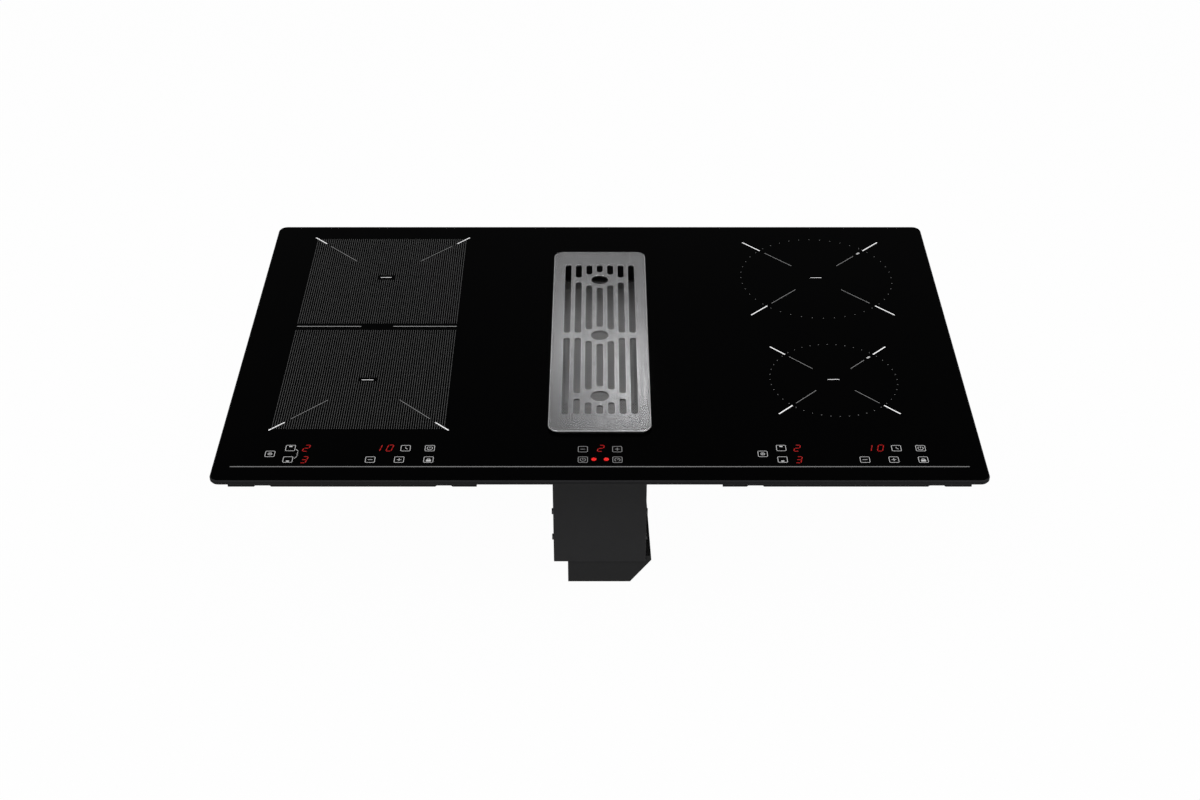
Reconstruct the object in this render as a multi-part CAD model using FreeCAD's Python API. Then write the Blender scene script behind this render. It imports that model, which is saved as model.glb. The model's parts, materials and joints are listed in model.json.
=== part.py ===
"""Downdraft induction cooktop: a black glass plate with four induction zones and a central extraction well.

Row frame: +X right, +Y to the back, +Z up. The origin is the middle of the cooktop on the worktop
plane, which is the underside of the sealing tape that the glass rests on. All sizes are millimetres.
"""
import FreeCAD, Part
import math
import os

V = FreeCAD.Vector

# ---- Glass plate and sealing tape ----------------------------------------------------------------
GLASS_WIDTH = 800.0
GLASS_DEPTH = 520.0
GLASS_THICKNESS = 4.0
GLASS_CORNER_RADIUS = 10.0
GLASS_EDGE_FACET = 1.0
SEAL_THICKNESS = 1.5
SEAL_WIDTH = 8.0
SEAL_INSET = 1.0

GLASS_UNDER = SEAL_THICKNESS
GLASS_TOP = GLASS_UNDER + GLASS_THICKNESS

# ---- Extraction duct, under the middle of the glass ----------------------------------------------
DUCT_FRONT_INSET = 85.0
DUCT_WIDTH = 100.0
DUCT_LENGTH = 362.0
DUCT_DROP = 172.5
DUCT_WALL = 1.5
DUCT_FLANGE = 12.0
DUCT_BEND_RADIUS = 2.0
DRAIN_WIDTH = 30.0
DRAIN_LENGTH = 90.0

# ---- Sheet frame between the two trays -----------------------------------------------------------
FRAME_SHEET = 1.0
FRAME_FOLD = 8.0
FRAME_GAP = 0.3
OPENING_CLEARANCE = 0.5
OPENING_CORNER_RADIUS = 8.0

# ---- Grille, its pads, and the trim collar of the glass opening ----------------------------------
GRILLE_WIDTH = 110.0
GRILLE_END_OVERLAP = 4.5
GRILLE_THICKNESS = 2.0
GRILLE_LIFT = 2.0
GRILLE_CORNER_RADIUS = 12.0
GRILLE_EDGE_FACET = 0.6
PAD_RADIUS = 2.0
PAD_END_INSET = 35.5
PAD_GAP = 0.2
SLOT_PITCH = 12.5
SLOT_WIDTH = 7.4
SLOT_END_MARGIN = 31.2
SLOT_BRIDGE = 10.0
FINGER_HOLE_RADIUS = 10.0
FINGER_HOLE_TO_SLOT_END = 34.0
HOLE_MARGIN = 7.3
COLLAR_FLANGE = 2.5
COLLAR_FLANGE_THICKNESS = 0.7
COLLAR_DEPTH = 3.0

# ---- Grease filter cassette ----------------------------------------------------------------------
FILTER_SIDE_GAP = 2.0
FILTER_END_GAP = 7.5
FILTER_TOP_DROP = 22.5
FILTER_HEIGHT = 14.0
FILTER_SHEET = 1.0
FILTER_RIM = 4.5
FILTER_CORNER_RADIUS = 5.0
PERFORATION_PITCH = 15.0
PERFORATION_SIZE = 7.5
LEDGE_WIDTH = 6.0
REST_GAP = 0.3

# ---- Removable front cover of the duct -----------------------------------------------------------
COVER_SHEET = 1.0
COVER_WRAP = 20.0
COVER_TOP_GAP = 2.0
COVER_SCREW_INSET = 9.0
COVER_SCREW_DROPS = (109.0, 145.0)
SCREW_SHANK_RADIUS = 1.9
SCREW_HOLE_RADIUS = 2.0
SCREW_HEAD_RADIUS = 3.4
SCREW_HEAD_HEIGHT = 1.7

# ---- Centrifugal blower --------------------------------------------------------------------------
IMPELLER_RADIUS = 49.0
IMPELLER_INNER_RADIUS = 40.0
IMPELLER_HALF_WIDTH = 26.0
IMPELLER_RING = 2.0
IMPELLER_DISC = 2.0
BLADE_COUNT = 24
BLADE_THICKNESS = 1.2
BLADE_BOW_RADIUS = 8.0
HUB_RADIUS = 9.0
HUB_REACH = 7.0
SHAFT_RADIUS = 3.0
SHAFT_CLEARANCE = 0.05
SCROLL_CLEARANCE = 4.0
SCROLL_STEP = 4.0
SCROLL_SIDE_GAP = 4.0
SCROLL_WALL = 2.0
SCROLL_BEHIND = 75.5
TONGUE_ANGLE = -22.0
INLET_RADIUS = 41.0
INLET_LIP = 4.0
MOTOR_RADIUS = 26.0
MOTOR_LENGTH = 34.0
MOTOR_START = 5.0
BEARING_RADIUS = 8.0
BEARING_WIDTH = 5.0
BRACKET_ARMS = 3
BRACKET_ARM_WIDTH = 9.0
BRACKET_THICKNESS = 2.5

# ---- Air outlet on the back of the duct ----------------------------------------------------------
OUTLET_RADIUS = 48.5
OUTLET_WALL = 2.0
OUTLET_LENGTH = 35.0
OUTLET_BOX_DEPTH = 16.0
OUTLET_BOX_MARGIN = 3.5
OUTLET_LAP = 6.0

# ---- Water tank under the duct, and its two rails ------------------------------------------------
TANK_LENGTH = 150.0
TANK_FRONT_INSET = 2.0
TANK_LEFT = 35.5
TANK_RIGHT = 34.0
TANK_HEIGHT = 31.8
TANK_LIP_REACH = 6.8
TANK_LIP_RISE = 5.5
TANK_REAR_TAPER = 4.5
TANK_WALL = 1.5
TANK_MOUTH_WIDTH = 58.0
TANK_REAR_DROP = 5.0
TANK_FOOT_OVERLAP = 2.5
RAIL_SHEET = 1.2
RAIL_GAP = 0.5
RAIL_SEAT_WIDTH = 8.0

# ---- Left and right bottom trays -----------------------------------------------------------------
TRAY_SIDE_OVERHANG = 14.5
TRAY_END_OVERHANG = 20.0
CENTRE_HALF_GAP = 127.5
TRAY_SHEET = 1.0
TRAY_DROP = 50.0
SHELF_DROP = 17.5
SHELF_LENGTH = 34.0
SHELF_SLOPE_RUN = 16.0
TRAY_RIM = 7.0
BEAD_DEPTH = 1.5
BEAD_WIDTH = 18.0
BEAD_SLANT = 1.5
BEAD_OUTER_INSET = 27.0
BEAD_INNER_INSET = 25.0
VENT_WIDTH = 4.0
VENT_COUNT = 8
REAR_VENT_COUNT = 10
REAR_VENT_HEIGHT = 16.0
REAR_VENT_PITCH = 14.0
POST_RADIUS = 3.5
POST_HEIGHT = 4.0

# ---- Induction coils and what carries them -------------------------------------------------------
DECK_SHEET = 1.5
DECK_DROP = 15.5
DECK_GAP = 0.5
DECK_FRONT_INSET = 52.0
FLEX_COIL_WIDTH = 176.0
FLEX_COIL_GAP = 22.0
FLEX_FRONT_INSET = 73.0
FLEX_REAR_INSET = 13.0
FLEX_COIL_CORNER = 34.0
FLEX_COIL_BAND = 56.0
BIG_COIL_RADIUS = 88.0
SMALL_COIL_RADIUS = 68.0
COIL_INNER_RADIUS = 24.0
BIG_COIL_REAR_INSET = 14.5
SMALL_COIL_FRONT_INSET = 94.5
CARRIER_OVERHANG = 2.0
MAT_OVERHANG = 1.0
FERRITE_HEIGHT = 5.0
FERRITE_WIDTH = 14.0
FERRITE_COUNT = 8
CARRIER_THICKNESS = 3.0
WINDING_THICKNESS = 5.0
MAT_GAP = 0.2
SENSOR_RADIUS = 5.0

# ---- Circuit boards, displays, heat sinks and cooling fans ---------------------------------------
BOARD_THICKNESS = 1.6
POWER_BOARD_WIDTH = 200.0
POWER_BOARD_FRONT_GAP = 18.0
POWER_BOARD_FAN_GAP = 30.0
BOARD_MARGIN = 8.0
CAPACITOR_WIDTH = 22.0
CAPACITOR_LENGTH = 26.0
CAPACITOR_HEIGHT = 18.0
CAPACITOR_COUNT = 4
CAPACITOR_PITCH = 34.0
CAPACITOR_START = 40.0
CHOKE_RADIUS = 12.0
CHOKE_HEIGHT = 20.0
CHOKE_COUNT = 3
CHOKE_PITCH = 44.0
CHOKE_START = 50.0
SINK_END_MARGIN = 2.0
SINK_WIDTH = 72.0
SINK_LENGTH = 160.0
SINK_HEIGHT = 20.0
SINK_BASE = 4.0
SINK_FINS = 9
SINK_FIN = 1.6
FAN_SIZE = 80.0
FAN_HEIGHT = 20.0
FAN_WALL_GAP = 12.0
FAN_ROTOR_RADIUS = 36.0
FAN_BORE_GAP = 1.5
FAN_HUB_RADIUS = 15.0
FAN_BLADES = 7
FAN_BLADE_THICKNESS = 1.5
FAN_PIN_RADIUS = 2.0
FAN_BASE = 2.0
KEY_RADIUS = 3.6
TOUCH_BOARD_DROP = 8.0
TOUCH_BOARD_WIDTH = 190.0
TOUCH_BOARD_DEPTH = 34.0
CENTRE_BOARD_WIDTH = 52.0
TOUCH_FRONT_GAP = 8.0
DISPLAY_WIDTH = 15.0
DISPLAY_DEPTH = 12.0
TOUCH_GAP = 0.2
HOLDER_WALL = 1.5

# ---- Mains entry and worktop clamps --------------------------------------------------------------
CABLE_RADIUS = 5.25
GLAND_RADIUS = 8.5
GLAND_FLANGE_RADIUS = 11.5
GLAND_FLANGE = 4.0
GLAND_SPOUT = 9.0
GLAND_HOLE_GAP = 0.2
GLAND_SIDE_INSET = 34.0
GLAND_END_INSET = 34.0
TERMINAL_WIDTH = 40.0
TERMINAL_DEPTH = 22.0
TERMINAL_HEIGHT = 16.0
CLAMP_LENGTH = 58.0
CLAMP_WIDTH = 14.0
CLAMP_SHEET = 2.0
CLAMP_TIP = 2.0
CLAMP_SIDE_INSET = 14.0
CLAMP_Y = 150.0
CLAMP_GAP = 0.3
CLAMP_PIN_RADIUS = 2.2
CLAMP_PIN_CLEARANCE = 0.05

# ---- Places worked out from the sizes above ------------------------------------------------------
FRAME_UNDER = GLASS_UNDER - FRAME_SHEET
DUCT_FRONT = DUCT_FRONT_INSET - GLASS_DEPTH / 2
DUCT_BACK = DUCT_FRONT + DUCT_LENGTH
WELL_Y = (DUCT_FRONT + DUCT_BACK) / 2
DUCT_FLANGE_UNDER = FRAME_UNDER - DUCT_WALL
DUCT_INNER_HALF = DUCT_WIDTH / 2 - DUCT_WALL
DUCT_FLOOR = DUCT_WALL - DUCT_DROP
OPENING_WIDTH = DUCT_WIDTH + 2 * OPENING_CLEARANCE
OPENING_LENGTH = DUCT_LENGTH + 2 * OPENING_CLEARANCE
GRILLE_UNDER = GLASS_TOP + GRILLE_LIFT
GRILLE_TOP = GRILLE_UNDER + GRILLE_THICKNESS
GRILLE_LENGTH = DUCT_LENGTH + 2 * GRILLE_END_OVERLAP
PAD_SPACING = GRILLE_LENGTH - 2 * PAD_END_INSET
SLOT_REACH = GRILLE_LENGTH / 2 - SLOT_END_MARGIN
FINGER_HOLE_SPACING = SLOT_REACH - FINGER_HOLE_TO_SLOT_END
FILTER_WIDTH = DUCT_WIDTH - 2 * DUCT_WALL - 2 * FILTER_SIDE_GAP
FILTER_LENGTH = DUCT_LENGTH - 2 * DUCT_WALL - 2 * FILTER_END_GAP
FILTER_BOTTOM = -FILTER_TOP_DROP - FILTER_HEIGHT
COVER_HALF_WIDTH = DUCT_WIDTH / 2 + COVER_SHEET
SCROLL_RADIUS = IMPELLER_RADIUS + SCROLL_CLEARANCE
SCROLL_HALF_WIDTH = IMPELLER_HALF_WIDTH + SCROLL_SIDE_GAP + SCROLL_WALL
FAN_AXIS_Z = DUCT_FLOOR + SCROLL_WALL + SCROLL_RADIUS + 3 * SCROLL_STEP
FAN_AXIS_Y = DUCT_BACK - DUCT_WALL - SCROLL_BEHIND
TRAY_OUTER = GLASS_WIDTH / 2 - TRAY_SIDE_OVERHANG
TRAY_CENTRE = (TRAY_OUTER + CENTRE_HALF_GAP) / 2
TRAY_WIDTH = TRAY_OUTER - CENTRE_HALF_GAP
TRAY_FRONT = TRAY_END_OVERHANG - GLASS_DEPTH / 2
TRAY_BACK = GLASS_DEPTH / 2 - TRAY_END_OVERHANG
TRAY_FLOOR = TRAY_SHEET - TRAY_DROP
DECK_TOP = DECK_SHEET - DECK_DROP
CARRIER_UNDER = DECK_TOP + FERRITE_HEIGHT
WINDING_UNDER = CARRIER_UNDER + CARRIER_THICKNESS
MAT_UNDER = WINDING_UNDER + WINDING_THICKNESS
POWER_BOARD_UNDER = TRAY_FLOOR + POST_HEIGHT
FAN_CENTRE_Y = TRAY_BACK - FAN_WALL_GAP - FAN_SIZE / 2
POWER_BOARD_FRONT = TRAY_FRONT + SHELF_LENGTH + SHELF_SLOPE_RUN + POWER_BOARD_FRONT_GAP
POWER_BOARD_BACK = FAN_CENTRE_Y - FAN_SIZE / 2 - POWER_BOARD_FAN_GAP
FLEX_FRONT = TRAY_FRONT + FLEX_FRONT_INSET
FLEX_BACK = TRAY_BACK - FLEX_REAR_INSET
FLEX_COIL_LENGTH = (FLEX_BACK - FLEX_FRONT - FLEX_COIL_GAP) / 2
TOUCH_Y = TRAY_FRONT + TRAY_SHEET + TOUCH_FRONT_GAP + TOUCH_BOARD_DEPTH / 2
TOUCH_BOARD_TOP = BOARD_THICKNESS - TOUCH_BOARD_DROP
ZONES = {
    "left_front": (-TRAY_CENTRE, FLEX_FRONT + FLEX_COIL_LENGTH / 2, 0.0),
    "left_rear": (-TRAY_CENTRE, FLEX_BACK - FLEX_COIL_LENGTH / 2, 0.0),
    "right_front": (TRAY_CENTRE, TRAY_FRONT + SMALL_COIL_FRONT_INSET + SMALL_COIL_RADIUS,
                    SMALL_COIL_RADIUS),
    "right_rear": (TRAY_CENTRE, TRAY_BACK - BIG_COIL_REAR_INSET - BIG_COIL_RADIUS, BIG_COIL_RADIUS),
}
# Touch keys and digits of a side panel, and of the middle panel, from the middle of their board.
SIDE_KEYS = ((-87.0, 0.0), (-67.0, 10.0), (-67.0, -10.0), (18.5, -10.0), (48.5, -10.0), (53.5, 10.0),
             (79.0, 10.0),
             (79.0, -10.0))
SIDE_DIGITS = ((-50.0, 9.5), (-50.0, -9.5), (33.5, 9.5))
CENTRE_KEYS = ((-18.0, 9.0), (18.0, 9.0), (-18.0, -9.0), (18.0, -9.0))
CENTRE_DIGITS = ((1.0, 9.5),)


# ---- Shapes used by several pieces ---------------------------------------------------------------
def block(x_low, x_high, y_low, y_high, z_low, z_high):
    """A box between two corners."""
    return Part.makeBox(x_high - x_low, y_high - y_low, z_high - z_low, V(x_low, y_low, z_low))


def rod(radius, start, direction, length):
    """A round bar from a start point along a direction."""
    return Part.makeCylinder(radius, length, V(*start), V(*direction))


def pipe(outer, inner, start, direction, length):
    """A round bar with a bore."""
    return rod(outer, start, direction, length).cut(rod(inner, start, direction, length))


def rounded_wire(width, length, radius, centre, z):
    """A rectangle with round corners, flat at height z."""
    half_x = width / 2
    half_y = length / 2
    edges = []
    for turn in range(4):
        angle = math.radians(90 * turn)
        sign_x = 1 if turn in (0, 3) else -1
        sign_y = 1 if turn in (0, 1) else -1
        hub = V(centre[0] + sign_x * (half_x - radius), centre[1] + sign_y * (half_y - radius), z)
        points = [hub + V(radius * math.cos(angle + a), radius * math.sin(angle + a), 0)
                  for a in (0.0, math.pi / 4, math.pi / 2)]
        edges.append(Part.Arc(*points).toShape())
    sides = [Part.LineSegment(edges[i].Vertexes[-1].Point, edges[(i + 1) % 4].Vertexes[0].Point).toShape()
             for i in range(4)]
    return Part.Wire(Part.__sortEdges__(edges + sides))


def rounded_plate(width, length, radius, z_low, z_high, centre=(0.0, 0.0)):
    """A plate with round corners."""
    return Part.Face(rounded_wire(width, length, radius, centre, z_low)).extrude(V(0, 0, z_high - z_low))


def prism(points, direction):
    """A polygon pushed along a direction."""
    return Part.Face(Part.makePolygon([V(*p) for p in points + points[:1]])).extrude(V(*direction))


def slot(x, y_low, y_high, width, z_low, z_high):
    """A cutter with round ends for a slot along Y."""
    return rounded_plate(width, y_high - y_low, width / 2 - 0.001, z_low, z_high, (x, (y_low + y_high) / 2))


def pan_screw(under_head, direction, shank_length, shank_radius=SCREW_SHANK_RADIUS):
    """A pan-head screw. Its head lies behind the point under_head, and its shank runs on along the
    direction."""
    way = V(*direction)
    head = Part.makeCylinder(SCREW_HEAD_RADIUS, SCREW_HEAD_HEIGHT,
                             V(*under_head) - way * SCREW_HEAD_HEIGHT, way)
    shank = Part.makeCylinder(shank_radius, shank_length, V(*under_head), way)
    return head.fuse(shank).removeSplitter()


def group(shapes):
    """Separate solids kept in one node."""
    return Part.makeCompound(shapes)


# ---- Glass, seal and frame -----------------------------------------------------------------------
def make_glass():
    """Ceramic glass with a ground facet round its top edge and a round-cornered opening over the duct."""
    plate = rounded_plate(GLASS_WIDTH, GLASS_DEPTH, GLASS_CORNER_RADIUS, GLASS_UNDER, GLASS_TOP)
    top_edges = [e for e in plate.Edges if all(abs(v.Z - GLASS_TOP) < 1e-6 for v in e.Vertexes)]
    plate = plate.makeChamfer(GLASS_EDGE_FACET, top_edges)
    opening = rounded_plate(OPENING_WIDTH, OPENING_LENGTH, OPENING_CORNER_RADIUS, GLASS_UNDER,
                            GLASS_TOP, (0, WELL_Y))
    return plate.cut(opening)


def make_seal():
    """Foam tape round the underside of the glass: the face that rests on the worktop."""
    width = GLASS_WIDTH - 2 * SEAL_INSET
    depth = GLASS_DEPTH - 2 * SEAL_INSET
    radius = GLASS_CORNER_RADIUS - SEAL_INSET
    outer = rounded_plate(width, depth, radius, 0.0, SEAL_THICKNESS)
    inner_radius = max(radius - SEAL_WIDTH, 0.5)
    return outer.cut(rounded_plate(width - 2 * SEAL_WIDTH, depth - 2 * SEAL_WIDTH, inner_radius, 0.0,
                                   SEAL_THICKNESS))


def touch_window(centre_x, width, z_low, z_high):
    """A cutter that lets a touch board see the glass."""
    return block(centre_x - width / 2, centre_x + width / 2,
                 TOUCH_Y - TOUCH_BOARD_DEPTH / 2, TOUCH_Y + TOUCH_BOARD_DEPTH / 2, z_low, z_high)


def duct_screw_places():
    """Where the duct's top flange is screwed to the frame."""
    x = DUCT_WIDTH / 2 + DUCT_FLANGE / 2
    ys = [WELL_Y + DUCT_LENGTH * share for share in (-0.42, 0.0, 0.42)]
    return [(side * x, y) for side in (-1, 1) for y in ys]


def make_centre_frame():
    """Folded sheet bonded under the glass between the trays. It carries the duct and the middle touch
    board.

    A fold stops short of the duct's flange where the flange is long enough to reach it."""
    half = CENTRE_HALF_GAP - FRAME_GAP
    outer = block(-half, half, TRAY_FRONT, TRAY_BACK, GLASS_UNDER - FRAME_FOLD, GLASS_UNDER)
    hollow = block(-half + FRAME_SHEET, half - FRAME_SHEET, TRAY_FRONT + FRAME_SHEET,
                   TRAY_BACK - FRAME_SHEET,
                   GLASS_UNDER - FRAME_FOLD, FRAME_UNDER)
    opening = rounded_plate(OPENING_WIDTH, OPENING_LENGTH, OPENING_CORNER_RADIUS, FRAME_UNDER,
                            GLASS_UNDER, (0, WELL_Y))
    window = touch_window(0.0, CENTRE_BOARD_WIDTH - 2 * HOLDER_WALL, FRAME_UNDER, GLASS_UNDER)
    holes = [rod(SCREW_HOLE_RADIUS, (x, y, FRAME_UNDER), (0, 0, 1), FRAME_SHEET)
             for x, y in duct_screw_places()]
    reach = 2 * (DUCT_FLANGE + FRAME_GAP)
    relief = rounded_plate(DUCT_WIDTH + reach, DUCT_LENGTH + reach, DUCT_FLANGE + FRAME_GAP,
                           GLASS_UNDER - FRAME_FOLD,
                           FRAME_UNDER, (0, WELL_Y))
    return outer.cut([hollow, opening, window, relief] + holes)


# ---- Grille, collar and filter -------------------------------------------------------------------
def slot_spans():
    """The slots of the grille as (column x, nearer end, farther end), for one half; the other half
    mirrors them.

    A column that meets a finger hole stops short of it, so that the slot ends follow the hole's curve."""
    clear = FINGER_HOLE_RADIUS + HOLE_MARGIN
    spans = []
    for column in range(-3, 4):
        x = column * SLOT_PITCH
        back = math.sqrt(max(clear ** 2 - x ** 2, 0.0))
        gap = max(SLOT_BRIDGE / 2, back)
        if abs(column) == 3:
            spans.append((x, SLOT_BRIDGE / 2, SLOT_REACH))
            continue
        spans.append((x, gap, FINGER_HOLE_SPACING - gap))
        spans.append((x, FINGER_HOLE_SPACING + gap, SLOT_REACH))
    return spans


def make_grille():
    """Stainless plate with a ground top edge, seven columns of slots and three finger holes."""
    plate = rounded_plate(GRILLE_WIDTH, GRILLE_LENGTH, GRILLE_CORNER_RADIUS, GRILLE_UNDER, GRILLE_TOP,
                          (0, WELL_Y))
    top_edges = [e for e in plate.Edges if all(abs(v.Z - GRILLE_TOP) < 1e-6 for v in e.Vertexes)]
    plate = plate.makeChamfer(GRILLE_EDGE_FACET, top_edges)
    cutters = []
    for x, near, far in slot_spans():
        for side in (-1, 1):
            low, high = sorted((WELL_Y + side * near, WELL_Y + side * far))
            cutters.append(slot(x, low, high, SLOT_WIDTH, GRILLE_UNDER, GRILLE_TOP))
    for step in (-1, 0, 1):
        place = (0, WELL_Y + step * FINGER_HOLE_SPACING, GRILLE_UNDER)
        cutters.append(rod(FINGER_HOLE_RADIUS, place, (0, 0, 1), GRILLE_THICKNESS))
    return plate.cut(cutters)


def make_grille_pads():
    """Silicone pads under the grille, which stand on the flange of the collar."""
    x = (OPENING_WIDTH / 2 + COLLAR_FLANGE + DUCT_INNER_HALF) / 2
    low = GLASS_TOP + COLLAR_FLANGE_THICKNESS + PAD_GAP
    places = [(side_x * x, WELL_Y + side_y * PAD_SPACING / 2, low) for side_x in (-1, 1)
              for side_y in (-1, 0, 1)]
    return group([rod(PAD_RADIUS, place, (0, 0, 1), GRILLE_UNDER - low) for place in places])


def make_collar():
    """Trim collar that lines the cut edge of the glass and leads spilt liquid into the duct."""
    width = OPENING_WIDTH - 2 * OPENING_CLEARANCE
    length = OPENING_LENGTH - 2 * OPENING_CLEARANCE
    radius = OPENING_CORNER_RADIUS - OPENING_CLEARANCE
    top = GLASS_TOP + COLLAR_FLANGE_THICKNESS
    centre = (0, WELL_Y)
    web = rounded_plate(width, length, radius, FRAME_UNDER, GLASS_TOP, centre)
    flange = rounded_plate(OPENING_WIDTH + 2 * COLLAR_FLANGE, OPENING_LENGTH + 2 * COLLAR_FLANGE,
                           OPENING_CORNER_RADIUS + COLLAR_FLANGE, GLASS_TOP, top, centre)
    bore = rounded_plate(width - 2 * DUCT_WALL, length - 2 * DUCT_WALL, radius - DUCT_WALL, FRAME_UNDER,
                         top, centre)
    return web.fuse(flange).cut(bore).removeSplitter()


def make_filter_frame():
    """Folded rim of the grease filter, open above and below, with an inward lip at the top and at the
    foot."""
    centre = (0, WELL_Y)
    top = -FILTER_TOP_DROP
    outer = rounded_plate(FILTER_WIDTH, FILTER_LENGTH, FILTER_CORNER_RADIUS, FILTER_BOTTOM, top, centre)
    hollow = rounded_plate(FILTER_WIDTH - 2 * FILTER_SHEET, FILTER_LENGTH - 2 * FILTER_SHEET,
                           FILTER_CORNER_RADIUS - FILTER_SHEET, FILTER_BOTTOM + FILTER_SHEET,
                           top - FILTER_SHEET, centre)
    mouth = rounded_plate(FILTER_WIDTH - 2 * FILTER_RIM, FILTER_LENGTH - 2 * FILTER_RIM, 1.0,
                          FILTER_BOTTOM, top, centre)
    return outer.cut([hollow, mouth])


def make_filter_mesh():
    """Perforated sheet held under the top lip of the filter frame, with staggered square holes set on
    their corners."""
    top = -FILTER_TOP_DROP - FILTER_SHEET
    half_x = FILTER_WIDTH / 2 - FILTER_SHEET
    half_y = FILTER_LENGTH / 2 - FILTER_SHEET
    sheet = rounded_plate(2 * half_x, 2 * half_y, FILTER_CORNER_RADIUS - FILTER_SHEET,
                          top - FILTER_SHEET, top, (0, WELL_Y))
    reach = PERFORATION_SIZE / math.sqrt(2)
    room_x = FILTER_WIDTH / 2 - FILTER_RIM - reach
    room_y = FILTER_LENGTH / 2 - FILTER_RIM - reach
    cutters = []
    rows = int(room_y // (PERFORATION_PITCH / 2))
    for row in range(-rows, rows + 1):
        shift = 0.5 * (row % 2)
        columns = int(room_x // PERFORATION_PITCH + 1)
        for column in range(-columns, columns + 1):
            x = (column + shift) * PERFORATION_PITCH
            y = WELL_Y + row * PERFORATION_PITCH / 2
            if abs(x) > room_x:
                continue
            corners = [(x + reach, y), (x, y + reach), (x - reach, y), (x, y - reach)]
            cutters.append(prism([(a, b, top - FILTER_SHEET) for a, b in corners], (0, 0, FILTER_SHEET)))
    return sheet.cut(cutters)


# ---- Duct, its cover and the outlet --------------------------------------------------------------
def outlet_axis():
    """The middle of the round outlet, level with the foot of the duct."""
    return OUTLET_RADIUS + OUTLET_BOX_MARGIN - DUCT_DROP


def mouth_span():
    """The low and high edge of the blower's mouth."""
    low = FAN_AXIS_Z - SCROLL_RADIUS - 3 * SCROLL_STEP
    return low, FAN_AXIS_Z + SCROLL_RADIUS * math.sin(math.radians(TONGUE_ANGLE))


def cover_screw_places():
    """Where the screws hold the cover's side flanges, as (side, y, z)."""
    y = DUCT_FRONT + COVER_SCREW_INSET
    return [(side, y, -drop) for side in (-1, 1) for drop in COVER_SCREW_DROPS]


def make_duct():
    """Extraction duct: a deep sheet box with a top flange, an open front behind the cover and a drain
    in its floor."""
    centre = (0, WELL_Y)
    top = FRAME_UNDER
    body = rounded_plate(DUCT_WIDTH, DUCT_LENGTH, DUCT_BEND_RADIUS, -DUCT_DROP, top, centre)
    flange = rounded_plate(DUCT_WIDTH + 2 * DUCT_FLANGE, DUCT_LENGTH + 2 * DUCT_FLANGE, DUCT_FLANGE,
                           DUCT_FLANGE_UNDER,
                           top, centre)
    inner_width = DUCT_WIDTH - 2 * DUCT_WALL
    inner_length = DUCT_LENGTH - 2 * DUCT_WALL
    hollow = rounded_plate(inner_width, inner_length, max(DUCT_BEND_RADIUS - DUCT_WALL, 0.3),
                           DUCT_FLOOR, top, centre)
    shell = body.fuse(flange).cut(hollow)
    ledge_top = FILTER_BOTTOM - REST_GAP
    ledge_low = ledge_top - DUCT_WALL
    ledge = rounded_plate(inner_width, inner_length, max(DUCT_BEND_RADIUS - DUCT_WALL, 0.3), ledge_low,
                          ledge_top, centre)
    ledge = ledge.cut(rounded_plate(inner_width - 2 * LEDGE_WIDTH,
                                    inner_length - 2 * (LEDGE_WIDTH + FILTER_END_GAP), 2.0,
                                    ledge_low, ledge_top, centre))
    tank_y = DUCT_FRONT + TANK_FRONT_INSET + TANK_LENGTH / 2
    drain = block(-DRAIN_WIDTH / 2, DRAIN_WIDTH / 2, tank_y - DRAIN_LENGTH / 2,
                  tank_y + DRAIN_LENGTH / 2, -DUCT_DROP,
                  DUCT_FLOOR)
    access = block(-DUCT_INNER_HALF + LEDGE_WIDTH, DUCT_INNER_HALF - LEDGE_WIDTH, DUCT_FRONT,
                   DUCT_FRONT + DUCT_WALL,
                   DUCT_FLOOR + LEDGE_WIDTH, ledge_low - LEDGE_WIDTH)
    low, high = mouth_span()
    half = SCROLL_HALF_WIDTH - SCROLL_WALL
    mouth = block(-half, half, DUCT_BACK - DUCT_WALL, DUCT_BACK, low, high)
    holes = [rod(SCREW_HOLE_RADIUS, (x, y, DUCT_FLANGE_UNDER), (0, 0, 1), DUCT_WALL)
             for x, y in duct_screw_places()]
    for side, y, z in cover_screw_places():
        holes.append(rod(SCREW_HOLE_RADIUS, (side * DUCT_WIDTH / 2, y, z), (-side, 0, 0), DUCT_WALL))
    return shell.fuse(ledge).cut([drain, access, mouth] + holes).removeSplitter()


def make_duct_screws():
    """Screws up through the duct's flange into the frame."""
    length = DUCT_WALL + FRAME_SHEET - 0.2
    return group([pan_screw((x, y, DUCT_FLANGE_UNDER), (0, 0, 1), length) for x, y in duct_screw_places()])


def make_front_cover():
    """Folded cover over the open front of the duct, with side flanges that the screws go through."""
    top = DUCT_FLANGE_UNDER - COVER_TOP_GAP
    front = DUCT_FRONT - COVER_SHEET
    outer = block(-COVER_HALF_WIDTH, COVER_HALF_WIDTH, front, DUCT_FRONT + COVER_WRAP, -DUCT_DROP, top)
    inner = block(-DUCT_WIDTH / 2, DUCT_WIDTH / 2, DUCT_FRONT, DUCT_FRONT + COVER_WRAP, -DUCT_DROP, top)
    cover = outer.cut(inner)
    fold_edges = [e for e in cover.Edges if abs(e.BoundBox.ZLength - (top + DUCT_DROP)) < 1e-6
                  and abs(e.Vertexes[0].Y - front) < 1e-6]
    cover = cover.makeFillet(COVER_SHEET * 0.9, fold_edges)
    holes = []
    for side, y, z in cover_screw_places():
        holes.append(rod(SCREW_HOLE_RADIUS, (side * COVER_HALF_WIDTH, y, z), (-side, 0, 0), COVER_SHEET))
    return cover.cut(holes)


def make_cover_screws():
    """Pan-head screws on both sides of the cover."""
    screws = []
    for side, y, z in cover_screw_places():
        screws.append(pan_screw((side * COVER_HALF_WIDTH, y, z), (-side, 0, 0), COVER_SHEET + DUCT_WALL))
    return group(screws)


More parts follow.
